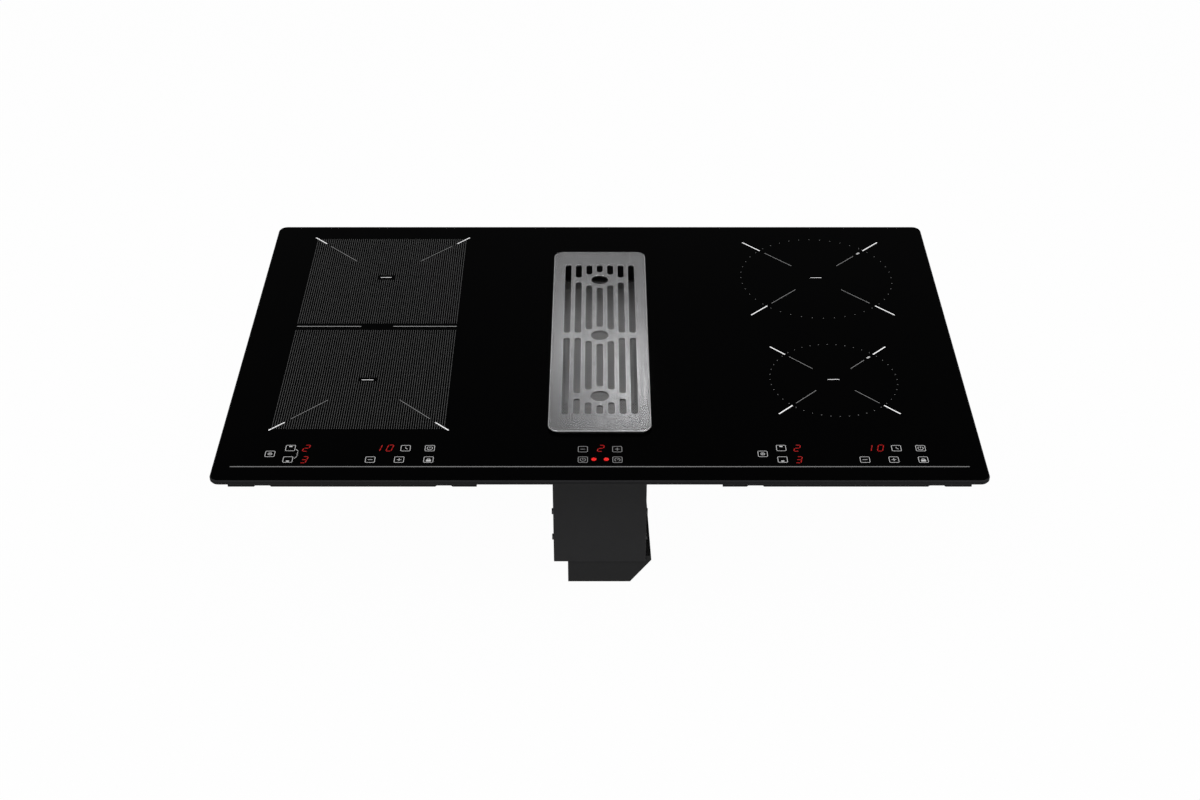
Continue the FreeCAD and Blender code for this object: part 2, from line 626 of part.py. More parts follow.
def make_outlet():
    """Transition box that laps over the sides of the duct, with a round spigot for the exhaust pipe."""
    half = OUTLET_RADIUS + OUTLET_BOX_MARGIN
    z = outlet_axis()
    back = DUCT_BACK + OUTLET_BOX_DEPTH
    box = block(-half, half, DUCT_BACK - OUTLET_LAP, back, z - half, z + half)
    duct = block(-DUCT_WIDTH / 2, DUCT_WIDTH / 2, DUCT_BACK - OUTLET_LAP, DUCT_BACK, z - half, z + half)
    hollow = block(-half + OUTLET_WALL, half - OUTLET_WALL, DUCT_BACK, back - OUTLET_WALL,
                   z - half + OUTLET_WALL,
                   z + half - OUTLET_WALL)
    box = box.cut([duct, hollow]).cut(rod(OUTLET_RADIUS - OUTLET_WALL, (0, DUCT_BACK, z), (0, 1, 0),
                                          OUTLET_BOX_DEPTH))
    spigot = pipe(OUTLET_RADIUS, OUTLET_RADIUS - OUTLET_WALL, (0, back, z), (0, 1, 0), OUTLET_LENGTH)
    return box.fuse(spigot).removeSplitter()


# ---- Centrifugal blower --------------------------------------------------------------------------
def on_fan(x, y, z):
    """A point given from the middle of the blower."""
    return V(x, FAN_AXIS_Y + y, FAN_AXIS_Z + z)


def arc_edge(centre, radius, start, end, x):
    """An arc in a plane across the blower's axis, with angles in degrees from +Y towards +Z."""
    points = []
    for angle in (start, (start + end) / 2, end):
        turn = math.radians(angle)
        points.append(on_fan(x, centre[0] + radius * math.cos(turn), centre[1] + radius * math.sin(turn)))
    return Part.Arc(*points).toShape()


def scroll_solid(grow, half_width):
    """The scroll's volume: three arcs that widen by one step each, then a straight throat to the back
    of the duct."""
    radius = SCROLL_RADIUS + grow
    drop = SCROLL_RADIUS * math.sin(math.radians(-TONGUE_ANGLE)) - grow
    start = -math.degrees(math.asin(drop / radius))
    x = -half_width
    arcs = [
        arc_edge((0.0, 0.0), radius, start, 90.0, x),
        arc_edge((0.0, -SCROLL_STEP), radius + SCROLL_STEP, 90.0, 180.0, x),
        arc_edge((SCROLL_STEP, -SCROLL_STEP), radius + 2 * SCROLL_STEP, 180.0, 270.0, x),
    ]
    floor = -radius - 3 * SCROLL_STEP
    corners = [on_fan(x, SCROLL_STEP, floor), on_fan(x, SCROLL_BEHIND, floor),
               on_fan(x, SCROLL_BEHIND, -drop),
               on_fan(x, radius * math.cos(math.radians(start)), -drop)]
    lines = [Part.LineSegment(corners[i], corners[i + 1]).toShape() for i in range(3)]
    wire = Part.Wire(Part.__sortEdges__(arcs + lines))
    return Part.Face(wire).extrude(V(2 * half_width, 0, 0))


def make_scroll():
    """Blower housing with a rolled lip round the air inlet on each side."""
    shell = scroll_solid(SCROLL_WALL, SCROLL_HALF_WIDTH).cut(scroll_solid(0.0,
                                                                          SCROLL_HALF_WIDTH - SCROLL_WALL))
    for side in (-1, 1):
        face = side * (SCROLL_HALF_WIDTH - SCROLL_WALL)
        length = SCROLL_WALL + INLET_LIP
        shell = shell.fuse(rod(INLET_RADIUS + SCROLL_WALL, on_fan(face, 0, 0), (side, 0, 0), length))
        shell = shell.cut(rod(INLET_RADIUS, on_fan(face, 0, 0), (side, 0, 0), length))
    return shell.removeSplitter()


def make_blade():
    """One curved blade of the impeller, bowed between the inner and the outer radius."""
    inner = IMPELLER_INNER_RADIUS + 0.5
    outer = IMPELLER_RADIUS - 0.5
    chord = outer - inner
    bow = BLADE_BOW_RADIUS
    sag = bow - math.sqrt(bow ** 2 - (chord / 2) ** 2)
    half_width = IMPELLER_HALF_WIDTH - IMPELLER_RING / 2
    x = -half_width
    middle = (inner + outer) / 2
    near = Part.Arc(on_fan(x, inner, 0), on_fan(x, middle, sag), on_fan(x, outer, 0)).toShape()
    thick = BLADE_THICKNESS
    far = Part.Arc(on_fan(x, inner, thick), on_fan(x, middle, sag + thick),
                   on_fan(x, outer, thick)).toShape()
    ends = [Part.LineSegment(on_fan(x, r, 0), on_fan(x, r, thick)).toShape() for r in (inner, outer)]
    wire = Part.Wire(Part.__sortEdges__([near, far] + ends))
    return Part.Face(wire).extrude(V(2 * half_width, 0, 0))


def make_impeller():
    """Double-inlet drum: curved blades between two end rings, on a middle disc with a hub."""
    disc = rod(IMPELLER_RADIUS, on_fan(-IMPELLER_DISC / 2, 0, 0), (1, 0, 0), IMPELLER_DISC)
    hub = rod(HUB_RADIUS, on_fan(-HUB_REACH, 0, 0), (1, 0, 0), HUB_REACH + IMPELLER_DISC)
    rings = []
    for x in (-IMPELLER_HALF_WIDTH, IMPELLER_HALF_WIDTH - IMPELLER_RING):
        rings.append(pipe(IMPELLER_RADIUS, IMPELLER_INNER_RADIUS, on_fan(x, 0, 0), (1, 0, 0),
                          IMPELLER_RING))
    blades = []
    for index in range(BLADE_COUNT):
        blade = make_blade()
        blade.rotate(on_fan(0, 0, 0), V(1, 0, 0), 360.0 * index / BLADE_COUNT)
        blades.append(blade)
    drum = disc.fuse([hub] + rings + blades)
    bore = rod(SHAFT_RADIUS, on_fan(-HUB_REACH, 0, 0), (1, 0, 0), HUB_REACH + IMPELLER_DISC)
    return drum.cut(bore).removeSplitter()


def bracket_face():
    """How far from the middle the inner face of the motor and bearing brackets lies."""
    return MOTOR_START + MOTOR_LENGTH


def make_shaft():
    """Steel shaft from inside the motor, through the hub, to the bearing."""
    start = -bracket_face() - BRACKET_THICKNESS - 1.0
    return rod(SHAFT_RADIUS, on_fan(start, 0, 0), (1, 0, 0), MOTOR_START + MOTOR_LENGTH / 2 - start)


def make_motor():
    """Blower motor in the right-hand inlet, with a bore for the shaft and cooling ribs round its shell."""
    body = rod(MOTOR_RADIUS, on_fan(MOTOR_START, 0, 0), (1, 0, 0), MOTOR_LENGTH)
    bore = rod(SHAFT_RADIUS + SHAFT_CLEARANCE, on_fan(MOTOR_START, 0, 0), (1, 0, 0), MOTOR_LENGTH / 2 + 0.5)
    grooves = []
    for index in range(4):
        x = MOTOR_START + MOTOR_LENGTH * (0.25 + 0.16 * index)
        grooves.append(pipe(MOTOR_RADIUS, MOTOR_RADIUS * 0.94, on_fan(x, 0, 0), (1, 0, 0),
                            MOTOR_LENGTH * 0.06))
    return body.cut([bore] + grooves)


def make_bracket(side, hub_radius, hole_radius):
    """Three-armed bracket across an inlet, whose legs stand on the side of the scroll."""
    face = bracket_face()
    hub = rod(hub_radius, on_fan(side * face, 0, 0), (side, 0, 0), BRACKET_THICKNESS)
    inner = INLET_RADIUS + SCROLL_WALL + 1.0
    outer = inner + BRACKET_THICKNESS
    half = BRACKET_ARM_WIDTH / 2
    low, high = sorted((side * face, side * (face + BRACKET_THICKNESS)))
    foot_low, foot_high = sorted((side * SCROLL_HALF_WIDTH, side * (face + BRACKET_THICKNESS)))
    shape = hub
    for index in range(BRACKET_ARMS):
        arm = Part.makeBox(high - low, outer, 2 * half, on_fan(low, 0, -half))
        leg = Part.makeBox(foot_high - foot_low, outer - inner, 2 * half, on_fan(foot_low, inner, -half))
        piece = arm.fuse(leg)
        piece.rotate(on_fan(0, 0, 0), V(1, 0, 0), 90.0 + 360.0 * index / BRACKET_ARMS)
        shape = shape.fuse(piece)
    if hole_radius > 0:
        shape = shape.cut(rod(hole_radius, on_fan(side * face, 0, 0), (side, 0, 0), BRACKET_THICKNESS))
    return shape.removeSplitter()


def make_bearing():
    """Bearing of the shaft in the left-hand bracket."""
    x = -bracket_face() - BRACKET_THICKNESS
    return pipe(BEARING_RADIUS, SHAFT_RADIUS + SHAFT_CLEARANCE, on_fan(x, 0, 0), (1, 0, 0), BEARING_WIDTH)


# ---- Water tank and rails ------------------------------------------------------------------------
def tank_slope():
    """How far the right-hand wall of the tank leans out for each millimetre up."""
    return (COVER_HALF_WIDTH + TANK_LIP_REACH - TANK_RIGHT) / TANK_HEIGHT


def tank_section(y, taper, grow, top):
    """The tank's section at a place along it, pulled in by a wall on all sides but the top."""
    low = -DUCT_DROP - TANK_HEIGHT + grow
    lean = tank_slope() - taper / TANK_HEIGHT
    shift = grow * math.sqrt(1 + lean ** 2)
    right_low = TANK_RIGHT + grow * lean - shift
    right_top = TANK_RIGHT + (top + DUCT_DROP + TANK_HEIGHT) * lean - shift
    points = [(-TANK_LEFT + grow, low), (right_low, low), (right_top, top), (-TANK_LEFT + grow, top)]
    return Part.makePolygon([V(x, y, z) for x, z in points + points[:1]])


def make_tank():
    """Tank that catches water under the duct, with a slanting right wall that ends in a pull lip
    beside the duct."""
    front = DUCT_FRONT + TANK_FRONT_INSET
    back = front + TANK_LENGTH
    top = -DUCT_DROP - REST_GAP
    outer = Part.makeLoft([tank_section(front, 0.0, 0.0, top),
                           tank_section(back, TANK_REAR_TAPER, 0.0, top)], True, True)
    share = TANK_WALL / TANK_LENGTH * TANK_REAR_TAPER
    inner = Part.makeLoft([tank_section(front + TANK_WALL, share, TANK_WALL, top - TANK_WALL),
                           tank_section(back - TANK_WALL, TANK_REAR_TAPER - share, TANK_WALL,
                                        top - TANK_WALL)],
                          True, True)
    edge = COVER_HALF_WIDTH + TANK_LIP_REACH
    lip_inner = COVER_HALF_WIDTH + REST_GAP
    lip_top = -DUCT_DROP + TANK_LIP_RISE
    lean = tank_slope()
    base = edge - 1.0 * lean
    lip = prism([(lip_inner, front, top), (lip_inner, back, top), (base - TANK_REAR_TAPER, back, top),
                 (base, front, top)], (0, 0, lip_top - top))
    mouth = block(-TANK_MOUTH_WIDTH / 2, TANK_MOUTH_WIDTH / 2, front + TANK_WALL, back, top - TANK_WALL,
                  top)
    low_back = block(-TANK_MOUTH_WIDTH / 2 - TANK_FOOT_OVERLAP - 1.0,
                     TANK_MOUTH_WIDTH / 2 + TANK_FOOT_OVERLAP + 1.0,
                     back - TANK_WALL, back, top - TANK_REAR_DROP, top - TANK_WALL)
    return outer.fuse(lip).cut([inner, mouth, low_back]).removeSplitter()


def make_rails():
    """Two rails under the duct whose feet reach below the tank's top flanges."""
    front = DUCT_FRONT + TANK_FRONT_INSET + TANK_WALL + RAIL_GAP
    back = front + TANK_LENGTH - 2 * TANK_WALL - 2 * RAIL_GAP
    foot_top = -DUCT_DROP - REST_GAP - TANK_WALL - REST_GAP
    foot_low = foot_top - RAIL_SHEET
    web_outer = TANK_MOUTH_WIDTH / 2 - RAIL_GAP
    web_inner = web_outer - RAIL_SHEET
    rails = []
    for side in (-1, 1):
        spans = [(web_inner, web_outer, foot_low, -DUCT_DROP),
                 (web_inner, web_outer + RAIL_GAP + TANK_FOOT_OVERLAP, foot_low, foot_top),
                 (web_outer - RAIL_SEAT_WIDTH, web_outer, -DUCT_DROP - RAIL_SHEET, -DUCT_DROP)]
        shape = None
        for near, far, low, high in spans:
            x_low, x_high = sorted((side * near, side * far))
            piece = block(x_low, x_high, front, back, low, high)
            shape = piece if shape is None else shape.fuse(piece)
        rails.append(shape.removeSplitter())
    return group(rails)


# ---- Bottom trays --------------------------------------------------------------------------------
def tray_section(inset):
    """The tray's side outline, pulled in by a sheet: a shallow shelf at the front, then a slope down
    to the deep pan."""
    shelf = -SHELF_DROP + inset
    floor = -TRAY_DROP + inset
    front = TRAY_FRONT + inset
    back = TRAY_BACK - inset
    shelf_end = TRAY_FRONT + SHELF_LENGTH + inset / 2
    slope_end = shelf_end + SHELF_SLOPE_RUN
    return [(front, GLASS_UNDER), (front, shelf), (shelf_end, shelf), (slope_end, floor), (back, floor),
            (back, GLASS_UNDER)]


def bead_prism(x, low, depth, raised):
    """A pressed bead across the shelf, with slanting ends."""
    half = BEAD_WIDTH / 2 - raised * BEAD_SLANT
    top = half - BEAD_SLANT
    points = [(x - half, TRAY_FRONT, low), (x - top, TRAY_FRONT, low + depth),
              (x + top, TRAY_FRONT, low + depth),
              (x + half, TRAY_FRONT, low)]
    return prism(points, (0, SHELF_LENGTH, 0))


def gland_place():
    """The middle of the cable gland, in the left tray's rear outer corner."""
    return -TRAY_OUTER + GLAND_SIDE_INSET, TRAY_BACK - GLAND_END_INSET


def clamp_places():
    """Where the four worktop clamps turn, as (side, end, x, y)."""
    x = TRAY_OUTER - CLAMP_SIDE_INSET
    return [(side, end, side * x, end * CLAMP_Y) for side in (-1, 1) for end in (-1, 1)]


def board_post_places(centre_x):
    """The posts that carry a power board."""
    x = POWER_BOARD_WIDTH / 2 - 2 * POST_RADIUS
    y_low = POWER_BOARD_FRONT + 2 * POST_RADIUS
    y_high = POWER_BOARD_BACK - 2 * POST_RADIUS
    return [(centre_x + side * x, y) for side in (-1, 1) for y in (y_low, y_high)]


def make_tray(side):
    """One bottom tray with its rim under the glass, its vents and the posts of its power board."""
    x_low, x_high = sorted((side * TRAY_OUTER, side * CENTRE_HALF_GAP))
    centre_x = side * TRAY_CENTRE
    outer = prism([(x_low, y, z) for y, z in tray_section(0.0)], (TRAY_WIDTH, 0, 0))
    inner = prism([(x_low + TRAY_SHEET, y, z)
                   for y, z in tray_section(TRAY_SHEET)], (TRAY_WIDTH - 2 * TRAY_SHEET, 0, 0))
    bead_xs = [side * (TRAY_OUTER - BEAD_OUTER_INSET - BEAD_WIDTH / 2),
               side * (CENTRE_HALF_GAP + BEAD_INNER_INSET + BEAD_WIDTH / 2)]
    for x in bead_xs:
        outer = outer.cut(bead_prism(x, -SHELF_DROP, BEAD_DEPTH, 0))
        inner = inner.cut(bead_prism(x, -SHELF_DROP + TRAY_SHEET, BEAD_DEPTH, 0))
    rim = block(x_low, x_high, TRAY_FRONT, TRAY_BACK, FRAME_UNDER, GLASS_UNDER)
    rim = rim.cut(block(x_low + TRAY_RIM, x_high - TRAY_RIM, TRAY_FRONT + TRAY_RIM,
                        TRAY_BACK - TRAY_RIM, FRAME_UNDER,
                        GLASS_UNDER))
    tray = outer.cut(inner).fuse(rim)
    posts = []
    for x, y in board_post_places(centre_x):
        posts.append(rod(POST_RADIUS, (x, y, TRAY_FLOOR), (0, 0, 1), POST_HEIGHT))
    tray = tray.fuse(posts)
    cutters = []
    pitch = 2 * VENT_WIDTH
    for index in range(VENT_COUNT):
        x = centre_x + (index - (VENT_COUNT - 1) / 2) * pitch
        half = math.sqrt(max(FAN_ROTOR_RADIUS ** 2 - (x - centre_x) ** 2, VENT_WIDTH ** 2))
        cutters.append(block(x - VENT_WIDTH / 2, x + VENT_WIDTH / 2, FAN_CENTRE_Y - half,
                             FAN_CENTRE_Y + half,
                             -TRAY_DROP, TRAY_FLOOR))
    middle = (TRAY_FLOOR - DECK_DROP) / 2
    for index in range(REAR_VENT_COUNT):
        x = centre_x + (index - (REAR_VENT_COUNT - 1) / 2) * REAR_VENT_PITCH
        cutters.append(block(x - VENT_WIDTH / 2, x + VENT_WIDTH / 2, TRAY_BACK - TRAY_SHEET, TRAY_BACK,
                             middle - REAR_VENT_HEIGHT / 2, middle + REAR_VENT_HEIGHT / 2))
    for place_side, _, x, y in clamp_places():
        if place_side == side:
            cutters.append(rod(CLAMP_PIN_RADIUS, (x, y, -TRAY_DROP), (0, 0, 1), TRAY_SHEET))
    if side < 0:
        x, y = gland_place()
        cutters.append(rod(GLAND_RADIUS + GLAND_HOLE_GAP, (x, y, -TRAY_DROP), (0, 0, 1), TRAY_SHEET))
    return tray.cut(cutters).removeSplitter()


def make_deck(side):
    """Bent sheet that carries the coils over the electronics, on a folded leg down each side."""
    half = TRAY_WIDTH / 2 - TRAY_SHEET - DECK_GAP
    x = side * TRAY_CENTRE
    front = TRAY_FRONT + DECK_FRONT_INSET
    back = TRAY_BACK - TRAY_SHEET - DECK_GAP
    outer = block(x - half, x + half, front, back, TRAY_FLOOR, DECK_TOP)
    inner = block(x - half + DECK_SHEET, x + half - DECK_SHEET, front, back, TRAY_FLOOR,
                  DECK_TOP - DECK_SHEET)
    return outer.cut(inner)


# ---- Coils ---------------------------------------------------------------------------------------
def zone_ring(zone, outset, band, z_low, z_high):
    """A flat ring that follows the outline of a zone's coil."""
    x, y, radius = zone
    if radius > 0:
        inner = radius - band if band else COIL_INNER_RADIUS
        return pipe(radius + outset, inner, (x, y, z_low), (0, 0, 1), z_high - z_low)
    width = FLEX_COIL_WIDTH + 2 * outset
    length = FLEX_COIL_LENGTH + 2 * outset
    plate = rounded_plate(width, length, FLEX_COIL_CORNER + outset, z_low, z_high, (x, y))
    cut_band = FLEX_COIL_BAND
    hole = rounded_plate(FLEX_COIL_WIDTH - 2 * cut_band, FLEX_COIL_LENGTH - 2 * cut_band,
                         FLEX_COIL_CORNER / 3, z_low,
                         z_high, (x, y))
    return plate.cut(hole)


def make_carrier(zone):
    """Plastic plate under a winding, with a bridge across its middle for the temperature sensor."""
    ring = zone_ring(zone, CARRIER_OVERHANG, 0.0, CARRIER_UNDER, WINDING_UNDER)
    x, y, _ = zone
    reach = COIL_INNER_RADIUS + SENSOR_RADIUS
    if zone[2] == 0:
        reach = FLEX_COIL_WIDTH / 2 - FLEX_COIL_BAND + SENSOR_RADIUS
    bridge = block(x - reach, x + reach, y - 2 * SENSOR_RADIUS, y + 2 * SENSOR_RADIUS, CARRIER_UNDER,
                   WINDING_UNDER)
    return ring.fuse(bridge).removeSplitter()


def make_winding(zone):
    """Flat pancake winding of litz wire, shown as its outer form."""
    return zone_ring(zone, 0.0, 0.0, WINDING_UNDER, MAT_UNDER)


def make_ferrites(zone):
    """Ferrite bars under a coil: radial under a round one, and across the turns of a long one."""
    x, y, radius = zone
    bars = []
    if radius > 0:
        for index in range(FERRITE_COUNT):
            inner = COIL_INNER_RADIUS + 2.0
            bar = block(x + inner, x + radius - 2.0, y - FERRITE_WIDTH / 3, y + FERRITE_WIDTH / 3,
                        DECK_TOP, CARRIER_UNDER)
            bar.rotate(V(x, y, 0), V(0, 0, 1), 360.0 * index / FERRITE_COUNT)
            bars.append(bar)
        return group(bars)
    span = FLEX_COIL_LENGTH - 2 * FLEX_COIL_CORNER
    rows = FERRITE_COUNT // 2
    for index in range(rows):
        offset = (index - (rows - 1) / 2) * span / (rows - 1)
        for side in (-1, 1):
            near = FLEX_COIL_WIDTH / 2 - FLEX_COIL_BAND + 2.0
            far = FLEX_COIL_WIDTH / 2 - 2.0
            x_low, x_high = sorted((x + side * near, x + side * far))
            bars.append(block(x_low, x_high, y + offset - FERRITE_WIDTH / 2,
                              y + offset + FERRITE_WIDTH / 2, DECK_TOP,
                              CARRIER_UNDER))
    return group(bars)


def make_sensors():
    """Temperature sensors on the bridges, each reaching up to just below the glass."""
    height = GLASS_UNDER - MAT_GAP - WINDING_UNDER
    return group([rod(SENSOR_RADIUS, (x, y, WINDING_UNDER), (0, 0, 1), height)
                  for x, y, _ in ZONES.values()])


def make_mat(side):
    """Insulating mat between the coils and the glass, with a hole round each sensor."""
    zones = [zone for zone in ZONES.values() if zone[0] * side > 0]
    reach = [zone[2] if zone[2] else FLEX_COIL_LENGTH / 2 for zone in zones]
    y_low = min(zone[1] - size for zone, size in zip(zones, reach)) - MAT_OVERHANG
    y_high = max(zone[1] + size for zone, size in zip(zones, reach)) + MAT_OVERHANG
    top = GLASS_UNDER - MAT_GAP
    half = max(FLEX_COIL_WIDTH / 2, BIG_COIL_RADIUS) + MAT_OVERHANG
    mat = block(side * TRAY_CENTRE - half, side * TRAY_CENTRE + half, y_low, y_high, MAT_UNDER, top)
    return mat.cut([rod(SENSOR_RADIUS + 0.5, (x, y, MAT_UNDER), (0, 0, 1), top - MAT_UNDER)
                    for x, y, _ in zones])


# ---- Electronics ---------------------------------------------------------------------------------
def make_power_board(side):
    """Power electronics board on the posts of a tray, with its filter choke and capacitors."""
    x = side * TRAY_CENTRE
    half = POWER_BOARD_WIDTH / 2
    low = POWER_BOARD_UNDER
    top = low + BOARD_THICKNESS
    board = block(x - half, x + half, POWER_BOARD_FRONT, POWER_BOARD_BACK, low, top)
    near = x - half + BOARD_MARGIN
    parts = []
    for index in range(CAPACITOR_COUNT):
        y = POWER_BOARD_FRONT + CAPACITOR_START + CAPACITOR_PITCH * index
        parts.append(block(near, near + CAPACITOR_WIDTH, y, y + CAPACITOR_LENGTH, top,
                           top + CAPACITOR_HEIGHT))
    for index in range(CHOKE_COUNT):
        y = POWER_BOARD_FRONT + CHOKE_START + CHOKE_PITCH * index
        parts.append(rod(CHOKE_RADIUS, (x + half - 2 * CHOKE_RADIUS, y, top), (0, 0, 1), CHOKE_HEIGHT))
    return board.fuse(parts).removeSplitter()


def make_heat_sink(side):
    """Finned aluminium heat sink on the power board."""
    x = side * TRAY_CENTRE
    low = POWER_BOARD_UNDER + BOARD_THICKNESS
    y_low = POWER_BOARD_BACK - SINK_LENGTH - SINK_END_MARGIN
    y_high = y_low + SINK_LENGTH
    outer = block(x - SINK_WIDTH / 2, x + SINK_WIDTH / 2, y_low, y_high, low, low + SINK_HEIGHT)
    pitch = (SINK_WIDTH - SINK_FIN) / (SINK_FINS - 1)
    cutters = []
    for index in range(SINK_FINS - 1):
        start = x - SINK_WIDTH / 2 + SINK_FIN + index * pitch
        cutters.append(block(start, start + pitch - SINK_FIN, y_low, y_high, low + SINK_BASE,
                             low + SINK_HEIGHT))
    return outer.cut(cutters)


def make_fan_frame(side):
    """Square cooling fan housing with a round bore, a spider under the hub and a pin for the rotor."""
    x = side * TRAY_CENTRE
    y = FAN_CENTRE_Y
    low = TRAY_FLOOR
    bore = FAN_ROTOR_RADIUS + FAN_BORE_GAP
    frame = rounded_plate(FAN_SIZE, FAN_SIZE, 4.0, low, low + FAN_HEIGHT, (x, y))
    frame = frame.cut(rod(bore, (x, y, low), (0, 0, 1), FAN_HEIGHT))
    spider = rod(FAN_HUB_RADIUS, (x, y, low), (0, 0, 1), FAN_BASE)
    for index in range(4):
        arm = block(x, x + bore + 0.5, y - FAN_BASE, y + FAN_BASE, low, low + FAN_BASE)
        arm.rotate(V(x, y, 0), V(0, 0, 1), 45.0 + 90.0 * index)
        spider = spider.fuse(arm)
    pin = rod(FAN_PIN_RADIUS, (x, y, low), (0, 0, 1), FAN_HEIGHT - FAN_BASE)
    return frame.fuse([spider, pin]).removeSplitter()


def make_fan_rotor(side):
    """Cooling fan rotor: pitched blades round a hub that turns on the pin."""
    x = side * TRAY_CENTRE
    y = FAN_CENTRE_Y
    low = TRAY_FLOOR + FAN_BASE + REST_GAP
    high = TRAY_FLOOR + FAN_HEIGHT - REST_GAP
    hub = rod(FAN_HUB_RADIUS, (x, y, low), (0, 0, 1), high - low)
    middle = (low + high) / 2
    height = high - low - 3.0
    for index in range(FAN_BLADES):
        blade = Part.makeBox(FAN_ROTOR_RADIUS - FAN_HUB_RADIUS + 2.0, FAN_BLADE_THICKNESS, height,
                             V(x + FAN_HUB_RADIUS - 2.5, y - FAN_BLADE_THICKNESS / 2, middle - height / 2))
        blade.rotate(V(x, y, middle), V(1, 0, 0), 38.0)
        blade.rotate(V(x, y, middle), V(0, 0, 1), 360.0 * index / FAN_BLADES)
        hub = hub.fuse(blade)
    bore = rod(FAN_PIN_RADIUS + SHAFT_CLEARANCE, (x, y, low), (0, 0, 1), high - low - 1.0)
    return hub.cut(bore).removeSplitter()


def touch_panels():
    """The touch boards: name, middle x, width, height of what they hang from, keys and digits."""
    return {
        "left": (-TRAY_CENTRE, TOUCH_BOARD_WIDTH, GLASS_UNDER, SIDE_KEYS, SIDE_DIGITS),
        "centre": (0.0, CENTRE_BOARD_WIDTH, FRAME_UNDER, CENTRE_KEYS, CENTRE_DIGITS),
        "right": (TRAY_CENTRE, TOUCH_BOARD_WIDTH, GLASS_UNDER, SIDE_KEYS, SIDE_DIGITS),
    }


def make_touch_boards():
    """Touch boards with a spring pad under each key of the glass."""
    low = -TOUCH_BOARD_DROP
    height = GLASS_UNDER - TOUCH_GAP - TOUCH_BOARD_TOP
    boards = []
    for x, width, _, keys, _ in touch_panels().values():
        half = width / 2 - HOLDER_WALL - TOUCH_GAP
        half_y = TOUCH_BOARD_DEPTH / 2 - HOLDER_WALL - TOUCH_GAP
        board = block(x - half, x + half, TOUCH_Y - half_y, TOUCH_Y + half_y, low, TOUCH_BOARD_TOP)
        pads = [rod(KEY_RADIUS, (x + dx, TOUCH_Y + dy, TOUCH_BOARD_TOP), (0, 0, 1), height)
                for dx, dy in keys]
        boards.append(board.fuse(pads).removeSplitter())
    return group(boards)


def make_displays():
    """Digit displays on the touch boards, under the clear windows of the glass."""
    blocks = []
    height = GLASS_UNDER - TOUCH_GAP - TOUCH_BOARD_TOP
    for x, _, _, _, digits in touch_panels().values():
        for dx, dy in digits:
            width = DISPLAY_WIDTH if len(digits) > 1 else DISPLAY_DEPTH
            blocks.append(block(x + dx - width / 2, x + dx + width / 2, TOUCH_Y + dy - DISPLAY_DEPTH / 2,
                                TOUCH_Y + dy + DISPLAY_DEPTH / 2, TOUCH_BOARD_TOP,
                                TOUCH_BOARD_TOP + height))
    return group(blocks)


def make_touch_holders():
    """Plastic holders that hang under the glass and cup the touch boards."""
    holders = []
    for x, width, top, _, _ in touch_panels().values():
        half = width / 2
        half_y = TOUCH_BOARD_DEPTH / 2
        low = -TOUCH_BOARD_DROP - HOLDER_WALL
        outer = block(x - half, x + half, TOUCH_Y - half_y, TOUCH_Y + half_y, low, top)
        inner = block(x - half + HOLDER_WALL, x + half - HOLDER_WALL, TOUCH_Y - half_y + HOLDER_WALL,
                      TOUCH_Y + half_y - HOLDER_WALL, -TOUCH_BOARD_DROP, top)
        window = block(x - half + 2 * HOLDER_WALL, x + half - 2 * HOLDER_WALL,
                       TOUCH_Y - half_y + 2 * HOLDER_WALL,
                       TOUCH_Y + half_y - 2 * HOLDER_WALL, low, -TOUCH_BOARD_DROP)
        holders.append(outer.cut([inner, window]))
    return group(holders)


# ---- Mains entry and clamps ----------------------------------------------------------------------
def make_gland():
    """Cable gland through the floor of the left tray, with a flange below and a nut above."""
    x, y = gland_place()
    low = -TRAY_DROP - GLAND_FLANGE - GLAND_SPOUT
    body = rod(GLAND_RADIUS, (x, y, low), (0, 0, 1), GLAND_SPOUT + 2 * GLAND_FLANGE + TRAY_SHEET)
    flange = rod(GLAND_FLANGE_RADIUS, (x, y, -TRAY_DROP - GLAND_FLANGE), (0, 0, 1), GLAND_FLANGE)
    nut = rod(GLAND_FLANGE_RADIUS, (x, y, TRAY_FLOOR), (0, 0, 1), GLAND_FLANGE)
    bore = rod(CABLE_RADIUS, (x, y, low), (0, 0, 1), GLAND_SPOUT + 2 * GLAND_FLANGE + TRAY_SHEET)
    return body.fuse([flange, nut]).cut(bore).removeSplitter()


def make_terminal_block():
    """Terminal block for the mains wires, beside the gland."""
    x, y = gland_place()
    back = y - GLAND_FLANGE_RADIUS - 3.0
    base = block(x - TERMINAL_WIDTH / 2, x + TERMINAL_WIDTH / 2, back - TERMINAL_DEPTH, back, TRAY_FLOOR,
                 TRAY_FLOOR + TERMINAL_HEIGHT)
    pitch = TERMINAL_WIDTH / 5
    cutters = []
    for index in range(5):
        middle = x + (index - 2) * pitch
        cutters.append(rod(pitch * 0.28, (middle, back, TRAY_FLOOR + TERMINAL_HEIGHT * 0.35), (0, -1, 0),
                           TERMINAL_DEPTH * 0.6))
        cutters.append(rod(pitch * 0.25, (middle, back - TERMINAL_DEPTH * 0.3,
                                          TRAY_FLOOR + TERMINAL_HEIGHT), (0, 0, -1),
                           TERMINAL_HEIGHT * 0.5))
    return base.cut(cutters)


